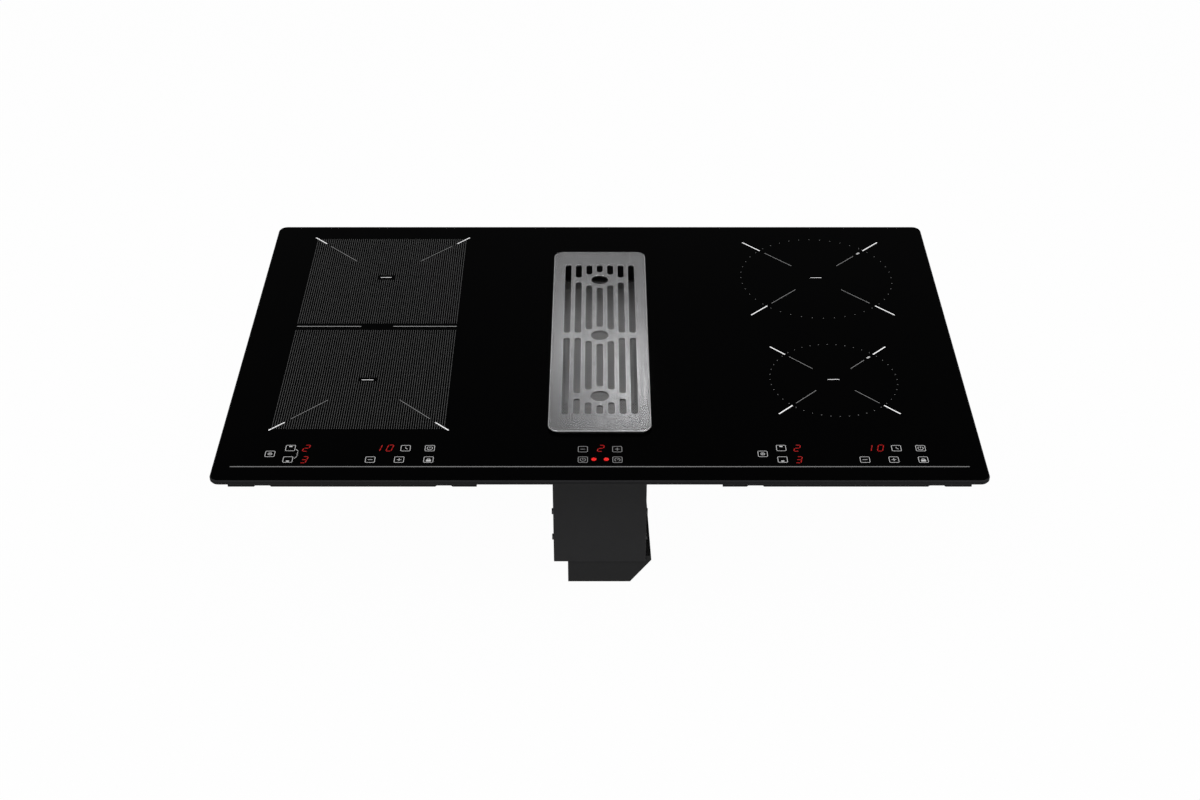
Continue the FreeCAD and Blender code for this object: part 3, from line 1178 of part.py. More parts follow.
def make_clamp(side, end):
    """Worktop clamp: a sheet arm that turns on a pin under the tray, with a turned-up tip that bears
    on the worktop."""
    x = side * (TRAY_OUTER - CLAMP_SIDE_INSET)
    y = end * CLAMP_Y
    top = -TRAY_DROP - CLAMP_GAP
    low = top - CLAMP_SHEET
    half = CLAMP_WIDTH / 2
    length = CLAMP_LENGTH - CLAMP_WIDTH
    near, far = sorted((y, y - end * length))
    arm = block(x - half, x + half, near, far, low, top)
    boss = rod(half, (x, y, low), (0, 0, 1), CLAMP_SHEET)
    tip_far = y - end * length
    tip_near, tip_end = sorted((tip_far, tip_far - end * CLAMP_SHEET))
    tip = block(x - half, x + half, tip_near, tip_end, low - CLAMP_TIP, top)
    hole = rod(CLAMP_PIN_RADIUS + CLAMP_PIN_CLEARANCE, (x, y, low), (0, 0, 1), CLAMP_SHEET)
    return arm.fuse([boss, tip]).cut(hole).removeSplitter()


def make_clamp_pins():
    """Pins under the trays, each with a head that keeps its clamp up."""
    low = -TRAY_DROP - CLAMP_GAP - CLAMP_SHEET - CLAMP_GAP
    pins = []
    for _, _, x, y in clamp_places():
        pins.append(pan_screw((x, y, low), (0, 0, 1), TRAY_FLOOR - low, CLAMP_PIN_RADIUS))
    return group(pins)


# ---- All pieces, by name -------------------------------------------------------------------------
def all_pieces():
    """Every piece of the cooktop."""
    pieces = {
        "glass_top": make_glass(),
        "seal_tape": make_seal(),
        "centre_frame": make_centre_frame(),
        "well_collar": make_collar(),
        "grille": make_grille(),
        "grille_pads": make_grille_pads(),
        "filter_frame": make_filter_frame(),
        "filter_mesh": make_filter_mesh(),
        "duct_housing": make_duct(),
        "duct_screws": make_duct_screws(),
        "front_cover": make_front_cover(),
        "cover_screws": make_cover_screws(),
        "outlet_spigot": make_outlet(),
        "blower_scroll": make_scroll(),
        "impeller": make_impeller(),
        "blower_shaft": make_shaft(),
        "blower_motor": make_motor(),
        "motor_bracket": make_bracket(1, MOTOR_RADIUS * 0.7, 0.0),
        "bearing_bracket": make_bracket(-1, BEARING_RADIUS + 4.0, BEARING_RADIUS),
        "blower_bearing": make_bearing(),
        "water_tank": make_tank(),
        "tank_rails": make_rails(),
        "zone_sensors": make_sensors(),
        "touch_boards": make_touch_boards(),
        "displays": make_displays(),
        "touch_holders": make_touch_holders(),
        "cable_gland": make_gland(),
        "terminal_block": make_terminal_block(),
        "clamp_pins": make_clamp_pins(),
    }
    for side, name in ((-1, "left"), (1, "right")):
        pieces["tray_" + name] = make_tray(side)
        pieces["coil_deck_" + name] = make_deck(side)
        pieces["insulating_mat_" + name] = make_mat(side)
        pieces["power_board_" + name] = make_power_board(side)
        pieces["heat_sink_" + name] = make_heat_sink(side)
        pieces["fan_frame_" + name] = make_fan_frame(side)
        pieces["fan_rotor_" + name] = make_fan_rotor(side)
        for end, place in ((-1, "front"), (1, "rear")):
            pieces["clamp_" + name + "_" + place] = make_clamp(side, end)
            zone = ZONES[name + "_" + place]
            pieces["coil_carrier_" + name + "_" + place] = make_carrier(zone)
            pieces["winding_" + name + "_" + place] = make_winding(zone)
            pieces["ferrites_" + name + "_" + place] = make_ferrites(zone)
    return pieces


os.makedirs("parts", exist_ok=True)
for node, shape in all_pieces().items():
    shape.exportStep("parts/" + node + ".step")
    print(node, len(shape.Solids), "valid" if shape.isValid() else "NOT VALID", round(shape.Volume))
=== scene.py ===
"""Looks of the downdraft induction cooktop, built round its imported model, in metres in the model's own
frame."""
import json
import math

import bpy
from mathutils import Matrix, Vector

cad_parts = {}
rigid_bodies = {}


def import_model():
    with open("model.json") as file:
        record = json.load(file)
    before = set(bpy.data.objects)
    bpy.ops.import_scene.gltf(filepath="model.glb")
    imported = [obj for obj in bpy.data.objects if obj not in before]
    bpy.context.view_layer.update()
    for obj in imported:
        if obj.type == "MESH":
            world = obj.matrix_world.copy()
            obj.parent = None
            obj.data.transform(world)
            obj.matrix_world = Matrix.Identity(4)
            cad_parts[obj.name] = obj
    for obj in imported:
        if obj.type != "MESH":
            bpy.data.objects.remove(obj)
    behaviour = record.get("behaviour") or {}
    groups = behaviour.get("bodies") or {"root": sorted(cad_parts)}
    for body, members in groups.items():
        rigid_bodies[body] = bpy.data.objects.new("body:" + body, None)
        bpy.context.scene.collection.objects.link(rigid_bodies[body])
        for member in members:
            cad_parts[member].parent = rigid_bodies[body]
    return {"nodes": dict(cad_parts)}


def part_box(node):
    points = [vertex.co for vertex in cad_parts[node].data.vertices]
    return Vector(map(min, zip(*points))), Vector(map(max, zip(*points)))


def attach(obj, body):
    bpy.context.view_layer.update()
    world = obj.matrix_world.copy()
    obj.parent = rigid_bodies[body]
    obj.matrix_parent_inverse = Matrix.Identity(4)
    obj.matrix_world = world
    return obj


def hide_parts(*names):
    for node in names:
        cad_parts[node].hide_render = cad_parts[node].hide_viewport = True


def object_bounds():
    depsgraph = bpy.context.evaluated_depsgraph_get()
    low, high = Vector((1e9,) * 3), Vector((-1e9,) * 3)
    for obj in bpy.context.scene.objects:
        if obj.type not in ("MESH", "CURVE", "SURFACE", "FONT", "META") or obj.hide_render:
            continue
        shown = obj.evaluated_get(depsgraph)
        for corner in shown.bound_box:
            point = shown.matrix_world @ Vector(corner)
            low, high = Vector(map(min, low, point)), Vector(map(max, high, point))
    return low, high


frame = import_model()
cad_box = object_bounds()


# ---- Glass plate ---------------------------------------------------------------------------------
# The plate is black glass-ceramic, 4 mm thick, polished on top and ground round its edge. It lies on a
# foam tape that the worktop squeezes, and everything else hangs from it.
MM = 0.001
GLASS_BLACK = (0.0003, 0.0003, 0.00035, 1.0)
GROUND_EDGE = (0.020, 0.020, 0.021, 1.0)
FOAM_BLACK = (0.012, 0.012, 0.012, 1.0)
# The upward part of a face's normal above which it counts as the top.
LEVEL_ENOUGH = 0.9


def add_node(tree, kind, **settings):
    """A shader node with its settings."""
    made = tree.nodes.new("ShaderNode" + kind)
    for name, value in settings.items():
        setattr(made, name, value)
    return made


def new_material(name, metallic=0.0, specular=0.5):
    """A material with an empty shader, and that shader."""
    material = bpy.data.materials.new(name)
    material.use_nodes = True
    shader = material.node_tree.nodes["Principled BSDF"]
    shader.inputs["Metallic"].default_value = metallic
    shader.inputs["Specular IOR Level"].default_value = specular
    return material, material.node_tree, shader


def connect(tree, *pairs):
    """Links outputs to inputs."""
    for start, end in pairs:
        tree.links.new(start, end)


def make_grain():
    """Node group: a colour and a roughness that vary with a noise of the given density, and its height."""
    tree = bpy.data.node_groups.new("grain", "ShaderNodeTree")
    for name, kind in (("Colour", "NodeSocketColor"), ("Shade", "NodeSocketFloat"),
                       ("Density", "NodeSocketVector"), ("Roughness", "NodeSocketFloat"),
                       ("Spread", "NodeSocketFloat")):
        tree.interface.new_socket(name=name, in_out="INPUT", socket_type=kind)
    for name, kind in (("Colour", "NodeSocketColor"), ("Roughness", "NodeSocketFloat"),
                       ("Height", "NodeSocketFloat")):
        tree.interface.new_socket(name=name, in_out="OUTPUT", socket_type=kind)
    given = tree.nodes.new("NodeGroupInput")
    result = tree.nodes.new("NodeGroupOutput")
    place = add_node(tree, "TexCoord")
    stretch = add_node(tree, "VectorMath", operation="MULTIPLY")
    noise = add_node(tree, "TexNoise")
    noise.inputs["Scale"].default_value = 1.0
    noise.inputs["Detail"].default_value = 5.0
    centred = add_node(tree, "Math", operation="SUBTRACT")
    centred.inputs[1].default_value = 0.5
    shade = add_node(tree, "Math", operation="MULTIPLY_ADD")
    shade.inputs[2].default_value = 1.0
    tint = add_node(tree, "VectorMath", operation="SCALE")
    rough = add_node(tree, "Math", operation="MULTIPLY_ADD", use_clamp=True)
    connect(tree,
            (place.outputs["Object"], stretch.inputs[0]), (given.outputs["Density"], stretch.inputs[1]),
            (stretch.outputs[0], noise.inputs["Vector"]), (noise.outputs["Fac"], centred.inputs[0]),
            (centred.outputs[0], shade.inputs[0]), (given.outputs["Shade"], shade.inputs[1]),
            (given.outputs["Colour"], tint.inputs[0]), (shade.outputs[0], tint.inputs["Scale"]),
            (centred.outputs[0], rough.inputs[0]), (given.outputs["Spread"], rough.inputs[1]),
            (given.outputs["Roughness"], rough.inputs[2]), (tint.outputs[0], result.inputs["Colour"]),
            (rough.outputs[0], result.inputs["Roughness"]),
            (noise.outputs["Fac"], result.inputs["Height"]))
    return tree


GRAIN = make_grain()


def add_grain(tree, shader, colour, roughness, density, shade, spread):
    """Feeds a shader's colour and roughness from the grain group, and returns the group's node."""
    grain = add_node(tree, "Group", node_tree=GRAIN)
    grain.inputs["Colour"].default_value = colour
    grain.inputs["Roughness"].default_value = roughness
    grain.inputs["Density"].default_value = density
    grain.inputs["Shade"].default_value = shade
    grain.inputs["Spread"].default_value = spread
    connect(tree, (grain.outputs["Colour"], shader.inputs["Base Color"]),
            (grain.outputs["Roughness"], shader.inputs["Roughness"]))
    return grain


def add_bump(tree, shader, height, strength, depth):
    """Raises a height in metres on the shader's surface."""
    bump = add_node(tree, "Bump")
    bump.inputs["Strength"].default_value = strength
    bump.inputs["Distance"].default_value = depth
    connect(tree, (height, bump.inputs["Height"]), (bump.outputs["Normal"], shader.inputs["Normal"]))


def grained(name, colour, roughness, density, shade, spread, metallic=0.0, specular=0.5, strength=0.2,
            depth=0.00005):
    """A finish whose colour, roughness and height all follow one grain, alike in every direction."""
    material, tree, shader = new_material(name, metallic, specular)
    grain = add_grain(tree, shader, colour, roughness, (density,) * 3, shade, spread)
    add_bump(tree, shader, grain.outputs["Height"], strength, depth)
    return material


def dress(material, *names):
    """Gives CAD pieces their finish."""
    for name in names:
        for slot in frame["nodes"][name].material_slots:
            slot.material = material


def make_glass_finish():
    """Polished black face, paler wherever the surface turns away from the top."""
    material, tree, shader = new_material("black_glass_ceramic", specular=0.003)
    grain = add_grain(tree, shader, GLASS_BLACK, 0.05, (90.0, 90.0, 90.0), 0.3, 0.04)
    facing = add_node(tree, "NewGeometry")
    split = add_node(tree, "SeparateXYZ")
    turned = add_node(tree, "Math", operation="LESS_THAN")
    turned.inputs[1].default_value = LEVEL_ENOUGH
    edge = add_node(tree, "Mix", data_type="RGBA")
    edge.inputs[7].default_value = GROUND_EDGE
    connect(tree, (facing.outputs["Normal"], split.inputs[0]), (split.outputs["Z"], turned.inputs[0]),
            (turned.outputs[0], edge.inputs["Factor"]), (grain.outputs["Colour"], edge.inputs[6]),
            (edge.outputs[2], shader.inputs["Base Color"]))
    return material


dress(make_glass_finish(), "glass_top")
dress(grained("closed_cell_foam", FOAM_BLACK, 0.9, 700.0, 0.5, 0.1, strength=0.6, depth=0.0003),
      "seal_tape")


# ---- Print on the glass: the two fields of the flexible zone -------------------------------------
# A pale ceramic ink is screened and fired onto the top face, here as a film a few hundredths of a
# millimetre thick. Each half of the flexible zone is a close field of short dashes, left clear round the
# mark in its middle.
INK_WHITE = (0.88, 0.88, 0.88, 1.0)
FIELD_GREY = (0.070, 0.070, 0.070, 1.0)
INK_SUNK = 0.02 * MM
INK_RISE = 0.08 * MM
INK_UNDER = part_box("glass_top")[1].z - INK_SUNK
DASH_WIDTH = 0.5 * MM
DASH_LENGTH = 1.8 * MM
DASH_PITCH = 2.54 * MM
FIELD_COLUMNS = 73
FIELD_ROWS = 76
FIELD_LEFT = -348.0 * MM
FIELD_STARTS = {"front": -169.0 * MM, "rear": 37.6 * MM}
FIELD_MARKS = {"front": (-255.7 * MM, -78.1 * MM), "rear": (-255.7 * MM, 138.2 * MM)}
CLEAR_HALF_WIDTH = 9.5 * MM
CLEAR_HALF_DEPTH = 3.6 * MM


def deselect():
    """Leaves nothing selected."""
    bpy.ops.object.select_all(action="DESELECT")


def settle(name):
    """Names the active piece and moves its place into its mesh."""
    piece = bpy.context.object
    piece.name = name
    piece.data.name = name
    bpy.ops.object.transform_apply(location=True, rotation=True, scale=True)
    return piece


def apply_modifier(piece, kind, **settings):
    """Adds a modifier with its settings and applies it."""
    modifier = piece.modifiers.new(kind.lower(), kind)
    for name, value in settings.items():
        setattr(modifier, name, value)
    bpy.ops.object.modifier_apply(modifier=modifier.name)


def repeat(piece, *steps):
    """Repeats a piece: for each step, along which axis, how many times and how far apart."""
    for axis, count, pitch in steps:
        offset = [0.0, 0.0, 0.0]
        offset[axis] = pitch
        apply_modifier(piece, "ARRAY", count=count, use_relative_offset=False, use_constant_offset=True,
                       constant_offset_displace=offset)


def pick(piece, wanted):
    """Opens a piece for editing with only the vertices whose place is wanted selected."""
    bpy.ops.object.mode_set(mode="EDIT")
    bpy.ops.mesh.select_mode(type="VERT")
    bpy.ops.mesh.select_all(action="DESELECT")
    bpy.ops.object.mode_set(mode="OBJECT")
    for vertex in piece.data.vertices:
        vertex.select = wanted(vertex.co)
    bpy.ops.object.mode_set(mode="EDIT")


def raise_ink():
    """Thickens the flat shape being edited into a closed film."""
    bpy.ops.mesh.select_all(action="SELECT")
    bpy.ops.mesh.extrude_region_move(TRANSFORM_OT_translate={"value": (0, 0, INK_RISE)})
    bpy.ops.mesh.select_all(action="SELECT")
    bpy.ops.mesh.normals_make_consistent(inside=False)
    bpy.ops.object.mode_set(mode="OBJECT")


def ink_bar(x, y, length, width, angle=0.0, blunt=0.25):
    """A printed bar round its middle, with eased corners."""
    deselect()
    bpy.ops.mesh.primitive_plane_add(size=1, location=(x, y, INK_UNDER), rotation=(0, 0, angle))
    bar = bpy.context.object
    bar.scale = (length, width, 1)
    bpy.ops.object.transform_apply(location=False, rotation=False, scale=True)
    bpy.ops.object.mode_set(mode="EDIT")
    bpy.ops.mesh.select_all(action="SELECT")
    bpy.ops.mesh.bevel(offset=blunt * width, segments=2, affect="VERTICES")
    raise_ink()
    bpy.ops.object.transform_apply(location=True, rotation=True, scale=False)
    return bar


def print_finish(name, colour):
    """Fired ink: matt, with the fine speckle that the screen leaves."""
    return grained(name, colour, 0.55, 2600.0, 0.12, 0.1, specular=0.2, strength=0.15, depth=0.00002)


def put(piece, material, body="chassis"):
    """Gives a new piece its finish and the body that carries it."""
    piece.data.materials.clear()
    piece.data.materials.append(material)
    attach(piece, body)
    return piece


field_ink = print_finish("field_ink", FIELD_GREY)
for half, start in FIELD_STARTS.items():
    deselect()
    bpy.ops.mesh.primitive_plane_add(size=1, location=(FIELD_LEFT, start, INK_UNDER))
    field = bpy.context.object
    field.scale = (DASH_WIDTH, DASH_LENGTH, 1)
    settle("flex_field_" + half)
    bpy.ops.object.mode_set(mode="EDIT")
    raise_ink()
    repeat(field, (0, FIELD_COLUMNS, DASH_PITCH), (1, FIELD_ROWS, DASH_PITCH))
    mark_x, mark_y = FIELD_MARKS[half]
    pick(field, lambda place: abs(place.x - mark_x) < CLEAR_HALF_WIDTH
         and abs(place.y - mark_y) < CLEAR_HALF_DEPTH)
    bpy.ops.mesh.select_linked()
    bpy.ops.mesh.delete(type="VERT")
    bpy.ops.object.mode_set(mode="OBJECT")
    put(field, field_ink)


# ---- Print on the glass: the marks of the zones --------------------------------------------------
# White corner strokes point at each zone, with a fine line running on towards its middle. The round zones
# have a ring of small dots. The short dashes in the middle stand where a pan is centred.
THICK = 1.4 * MM
FINE = 0.6 * MM
FINE_GREY = (0.22, 0.22, 0.22, 1.0)
DIVIDER_GREY = (0.26, 0.26, 0.26, 1.0)
DIVIDER_WIDTH = 1.0 * MM
DOT_GREY = (0.17, 0.17, 0.17, 1.0)
DOT_RADIUS = 0.5 * MM
DOT_SIDES = 8
DOTS_IN_RING = 44
PAD_GREY = (0.40, 0.40, 0.40, 1.0)
PAD_LENGTH = 5.0 * MM
PAD_WIDTH = 2.4 * MM
PAN_DASH_WIDTH = 0.75 * MM
PAN_DASH_REACH = 6.5
# Strokes and lines run between two points, given in millimetres.
FLEX_STROKES = (((-351.5, 232.6), (-336.3, 217.9)), ((-160.8, 232.6), (-175.8, 217.4)),
                ((-351.0, -172.4), (-335.8, -157.9)), ((-160.1, -172.4), (-175.5, -157.9)))
FLEX_LINES = (((-330.8, 211.8), (-294.7, 176.1)), ((-181.6, 211.8), (-217.2, 176.1)),
              ((-330.0, -151.6), (-294.3, -116.3)), ((-181.3, -151.6), (-217.1, -116.3)))
DIVIDERS = (((-347.9, 30.4), (-274.2, 30.4)), ((-237.3, 30.4), (-164.4, 30.4)))
# A round zone in millimetres: its middle, the radius of its ring of dots, its strokes, its fine lines and
# the shorter one of them as offsets from the middle, and the offset of the small pad beyond that one.
ROUND_ZONES = {"rear": ((258.9, 137.6), 90.0, (63.0, 83.2), (27.2, 57.5), (27.2, 50.0), 56.5),
               "front": ((257.6, -77.3), 70.0, (49.4, 65.2), (21.2, 45.2), (21.2, 38.0), 43.5)}


def ink_line(start, end, width):
    """A printed line between two points given in millimetres."""
    across, along = (end[0] - start[0]) * MM, (end[1] - start[1]) * MM
    return ink_bar((start[0] + end[0]) / 2 * MM, (start[1] + end[1]) / 2 * MM,
                   math.hypot(across, along), width, math.atan2(along, across))


def flat_disc(radius, sides):
    """A flat disc round the origin, open for editing."""
    deselect()
    bpy.ops.mesh.primitive_circle_add(vertices=sides, radius=radius, fill_type="NGON",
                                      location=(0, 0, INK_UNDER))
    bpy.ops.object.transform_apply(location=True, rotation=False, scale=False)
    bpy.ops.object.mode_set(mode="EDIT")
    return bpy.context.object


def ink_disc(radius, sides):
    """A printed disc round the origin."""
    disc = flat_disc(radius, sides)
    raise_ink()
    return disc


def joined(name, parts):
    """Several parts as one piece."""
    deselect()
    for part in parts:
        part.select_set(True)
    bpy.context.view_layer.objects.active = parts[0]
    bpy.ops.object.join()
    return settle(name)


def copies(part, places):
    """A part and copies of it, each with its own mesh, at the given places in millimetres."""
    made = []
    for x, y in places:
        twin = part.copy()
        twin.data = part.data.copy()
        bpy.context.collection.objects.link(twin)
        twin.location = (x * MM, y * MM, 0.0)
        made.append(twin)
    bpy.data.objects.remove(part)
    return made


white_ink = print_finish("white_ink", INK_WHITE)
put(joined("flex_zone_strokes", [ink_line(*ends, THICK) for ends in FLEX_STROKES]), white_ink)
fine_ink = print_finish("fine_ink", FINE_GREY)
put(joined("flex_zone_lines", [ink_line(*ends, FINE) for ends in FLEX_LINES]), fine_ink)
put(joined("flex_zone_divider", [ink_line(*ends, DIVIDER_WIDTH) for ends in DIVIDERS]),
    print_finish("divider_ink", DIVIDER_GREY))
pad_ink = print_finish("pad_ink", PAD_GREY)
for zone, ((mid_x, mid_y), ring, stroke, fine, short_fine, pad) in ROUND_ZONES.items():
    strokes = []
    lines = []
    for sign_x in (-1, 1):
        for sign_y in (-1, 1):
            reach = short_fine if sign_x > 0 and sign_y > 0 else fine
            for spans, (near, far), width in ((strokes, stroke, THICK), (lines, reach, FINE)):
                spans.append(ink_line((mid_x + sign_x * near, mid_y + sign_y * near),
                                      (mid_x + sign_x * far, mid_y + sign_y * far), width))
    put(joined("round_zone_strokes_" + zone, strokes), white_ink)
    put(joined("round_zone_lines_" + zone, lines), fine_ink)
    put(joined("round_zone_pad_" + zone, [ink_bar((mid_x + pad) * MM, (mid_y + pad) * MM, PAD_LENGTH,
                                                  PAD_WIDTH, math.pi / 4)]), pad_ink)
    turns = [2 * math.pi * index / DOTS_IN_RING for index in range(DOTS_IN_RING)]
    dots = copies(ink_disc(DOT_RADIUS, DOT_SIDES),
                  [(mid_x + ring * math.cos(turn), mid_y + ring * math.sin(turn)) for turn in turns])
    put(joined("round_zone_dots_" + zone, dots), print_finish("dot_ink_" + zone, DOT_GREY))
middles = [(x / MM, y / MM) for x, y in FIELD_MARKS.values()] + [spec[0] for spec in ROUND_ZONES.values()]
put(joined("pan_centre_dashes", [ink_line((x - PAN_DASH_REACH, y), (x + PAN_DASH_REACH, y), PAN_DASH_WIDTH)
                                 for x, y in middles]), white_ink)


# ---- Print on the glass: the line and the touch keys ---------------------------------------------
# A grey line runs the width of the plate in front of the keys. A key is a rounded square outline with its
# sign inside, on each side panel and in the middle. The glass over a key is plain: a finger is sensed
# through it.
LINE_GREY = (0.15, 0.15, 0.15, 1.0)
KEY_INK = (0.42, 0.42, 0.42, 1.0)
MIDDLE_KEY_INK = (0.20, 0.20, 0.20, 1.0)
KEY_SIDE = 10.3 * MM
KEY_CORNER = 1.6 * MM
SIGN_LINE = 0.62
KEY_LINE = SIGN_LINE * MM
RING_SIDES = 24
UPRIGHT = math.pi / 2
FRONT_LINE = ((-381.5, -236.0), (381.5, -236.0))
FRONT_LINE_WIDTH = 1.3 * MM
# The keys of the left panel and, below, of the middle one: the sign of each and its place in millimetres.
# The right panel repeats the left one, shifted.
SIDE_SHIFT = 513.0
SIDE_PANEL = {"boost": (-343.3, -214.0), "up": (-323.3, -203.8), "down": (-323.4, -223.8),
              "timer": (-202.9, -204.1), "power": (-177.6, -204.1), "minus": (-238.0, -223.9),
              "plus": (-208.0, -223.9), "lock": (-177.5, -223.9)}
CENTRE_PANEL = {"minus": (-17.6, -205.8), "plus": (18.3, -205.8), "power": (-17.5, -224.0),
                "speed": (18.4, -224.0)}
# The bars of each sign: middle, length and width in millimetres, then where they aren't the usual ones the
# turn in radians and the share of the width that blunts the corners.
SIGN_BARS = {"minus": ((0, 0, 5.0, SIGN_LINE),),
             "plus": ((0, 0, 5.0, SIGN_LINE), (0, -1.45, 2.1, SIGN_LINE, UPRIGHT),
                      (0, 1.45, 2.1, SIGN_LINE, UPRIGHT)),
             "up": ((0, 2.7, 3.4, 2.0),),
             "down": ((0, -2.7, 3.4, 2.0),),
             "timer": ((0, 1.1, 2.6, SIGN_LINE, UPRIGHT), (1.2, -0.9, 2.4, SIGN_LINE, -0.6)),
             "boost": ((0, 0, 1.5, 1.5),),
             "power": ((0, 1.5, 3.4, SIGN_LINE, UPRIGHT),),
             "speed": ((0.7, 0.7, 2.8, SIGN_LINE, UPRIGHT / 2),),
             "lock": ((0, -1.7, 5.0, 3.2, 0.0, 0.15),)}
# The ring of a sign: its radius in millimetres, and the angles in degrees between which it is open.
SIGN_RINGS = {"boost": (2.3, 0, 0), "power": (3.1, 60, 120), "speed": (3.1, 240, 300),
              "lock": (1.9, 180, 360)}
# The bracket that joins the up and down keys of the flexible zone, with its link sign.
LINK = (((-317.0, -206.0), (-314.6, -209.4)), ((-314.6, -218.4), (-317.0, -221.8)),
        ((-314.8, -210.8), (-314.8, -212.6)), ((-314.8, -215.2), (-314.8, -217.0)),
        ((-315.6, -213.9), (-314.0, -213.9)))


def key_outline():
    """The outline of a key with its round corners, round the origin."""
    deselect()
    bpy.ops.mesh.primitive_plane_add(size=1, location=(0, 0, INK_UNDER))
    outline = bpy.context.object
    outline.scale = (KEY_SIDE, KEY_SIDE, 1)
    bpy.ops.object.transform_apply(location=True, rotation=False, scale=True)
    bpy.ops.object.mode_set(mode="EDIT")
    bpy.ops.mesh.select_all(action="SELECT")
    bpy.ops.mesh.bevel(offset=KEY_CORNER, segments=4, affect="VERTICES")
    bpy.ops.mesh.inset(thickness=KEY_LINE)
    bpy.ops.mesh.delete(type="FACE")
    raise_ink()
    return outline


def ink_ring(radius, opens, closes):
    """A printed ring round the origin, left open between two angles in degrees."""
    ring = flat_disc(radius, RING_SIDES)
    bpy.ops.mesh.select_all(action="SELECT")
    bpy.ops.mesh.inset(thickness=KEY_LINE)
    bpy.ops.mesh.delete(type="FACE")
    bpy.ops.object.mode_set(mode="OBJECT")
    for face in ring.data.polygons:
        face.select = opens < math.degrees(math.atan2(face.center.y, face.center.x)) % 360 < closes
    bpy.ops.object.mode_set(mode="EDIT")
    bpy.ops.mesh.select_mode(type="FACE")
    bpy.ops.mesh.delete(type="FACE")
    bpy.ops.mesh.select_mode(type="VERT")
    raise_ink()
    return ring


def key_sign(kind):
    """The sign inside a key, as parts round the origin."""
    parts = [ink_bar(x * MM, y * MM, length * MM, width * MM, *how)
             for x, y, length, width, *how in SIGN_BARS[kind]]
    if kind in SIGN_RINGS:
        radius, opens, closes = SIGN_RINGS[kind]
        parts.append(ink_ring(radius * MM, opens, closes))
    return parts


def print_key(kind, x, y):
    """A key's outline and sign at its place in millimetres."""
    parts = [key_outline()] + key_sign(kind)
    for part in parts:
        part.location.x += x * MM
        part.location.y += y * MM
    return parts


key_ink = print_finish("key_ink", KEY_INK)
side_keys = [part for kind, place in SIDE_PANEL.items() for part in print_key(kind, *place)]
left_keys = put(joined("touch_keys_left", side_keys), key_ink)
right_keys = left_keys.copy()
right_keys.data = left_keys.data.copy()
right_keys.name = right_keys.data.name = "touch_keys_right"
bpy.context.collection.objects.link(right_keys)
for vertex in right_keys.data.vertices:
    vertex.co.x += SIDE_SHIFT * MM
put(right_keys, key_ink)
middle_keys = [part for kind, place in CENTRE_PANEL.items() for part in print_key(kind, *place)]
put(joined("touch_keys_middle", middle_keys), print_finish("middle_key_ink", MIDDLE_KEY_INK))
put(joined("link_bracket", [ink_line(*ends, KEY_LINE) for ends in LINK]), key_ink)
put(joined("front_line", [ink_line(*FRONT_LINE, FRONT_LINE_WIDTH)]), print_finish("line_ink", LINE_GREY))


# ---- Lit digits ----------------------------------------------------------------------------------
# Red seven-segment digits shine through the glass from the displays below, and two round lamps show that
# the fan runs. Their light is drawn at the top face of the glass, where the eye sees it.
LIT_RED = (1.0, 0.012, 0.008, 1.0)
DEEP_RED = (0.8, 0.0096, 0.0064, 1.0)
UNLIT_RED = (0.25, 0.002, 0.002, 1.0)
DIGIT_GLOW = 0.13
LAMP_GLOW = 0.62
LAMP_RADIUS = 2.7 * MM
LAMP_SIDES = 20
LAMP_PLACES = ((-6.1, -223.3), (6.9, -223.3))
DIGIT_HEIGHT = 10.6 * MM
DIGIT_WIDTH = 5.4 * MM
DIGIT_SLANT = 0.22
SEGMENT = 0.95 * MM
SEGMENT_BLUNT = 0.45
# The length of a standing segment as a share of the digit's height, and of a lying one as a share of its
# width.
STANDING_SHARE = 0.42
LYING_SHARE = 0.76
# The segments of a digit: their middle in shares of half the width and height, and whether they stand.
SEGMENTS = {"a": (0, 1, False), "b": (1, 0.5, True), "c": (1, -0.5, True), "d": (0, -1, False),
            "e": (-1, -0.5, True), "f": (-1, 0.5, True), "g": (0, 0, False)}
DIGITS = {"0": "abcdef", "1": "bc", "2": "abged", "3": "abgcd"}
# The digits that are lit: which, and where in millimetres.
SIDE_READOUT = (("2", -306.6, -204.1), ("3", -306.4, -224.1), ("1", -231.4, -203.8), ("0", -219.4, -203.8))
MIDDLE_READOUT = ("2", 1.2, -204.3)


def make_lit_finish(name, strength):
    """Red light with the faint unevenness of a diffuser."""
    material, tree, shader = new_material(name, specular=0.1)
    grain = add_grain(tree, shader, UNLIT_RED, 0.4, (900.0, 900.0, 900.0), 0.2, 0.1)
    glow = add_node(tree, "Mix", data_type="RGBA")
    glow.inputs[6].default_value = DEEP_RED
    glow.inputs[7].default_value = LIT_RED
    connect(tree, (grain.outputs["Height"], glow.inputs["Factor"]),
            (glow.outputs[2], shader.inputs["Emission Color"]))
    shader.inputs["Emission Strength"].default_value = strength
    return material


def lit_digit(digit, x, y):
    """A slanting digit of bars round its middle, given in millimetres."""
    bars = []
    for segment in DIGITS[digit]:
        across, up, stands = SEGMENTS[segment]
        low = up * DIGIT_HEIGHT / 2
        middle = x * MM + across * DIGIT_WIDTH / 2 + low * DIGIT_SLANT
        if stands:
            length, turn = STANDING_SHARE * DIGIT_HEIGHT, UPRIGHT - DIGIT_SLANT
        else:
            length, turn = LYING_SHARE * DIGIT_WIDTH, 0.0
        bars.append(ink_bar(middle, y * MM + low, length, SEGMENT, turn, SEGMENT_BLUNT))
    return bars


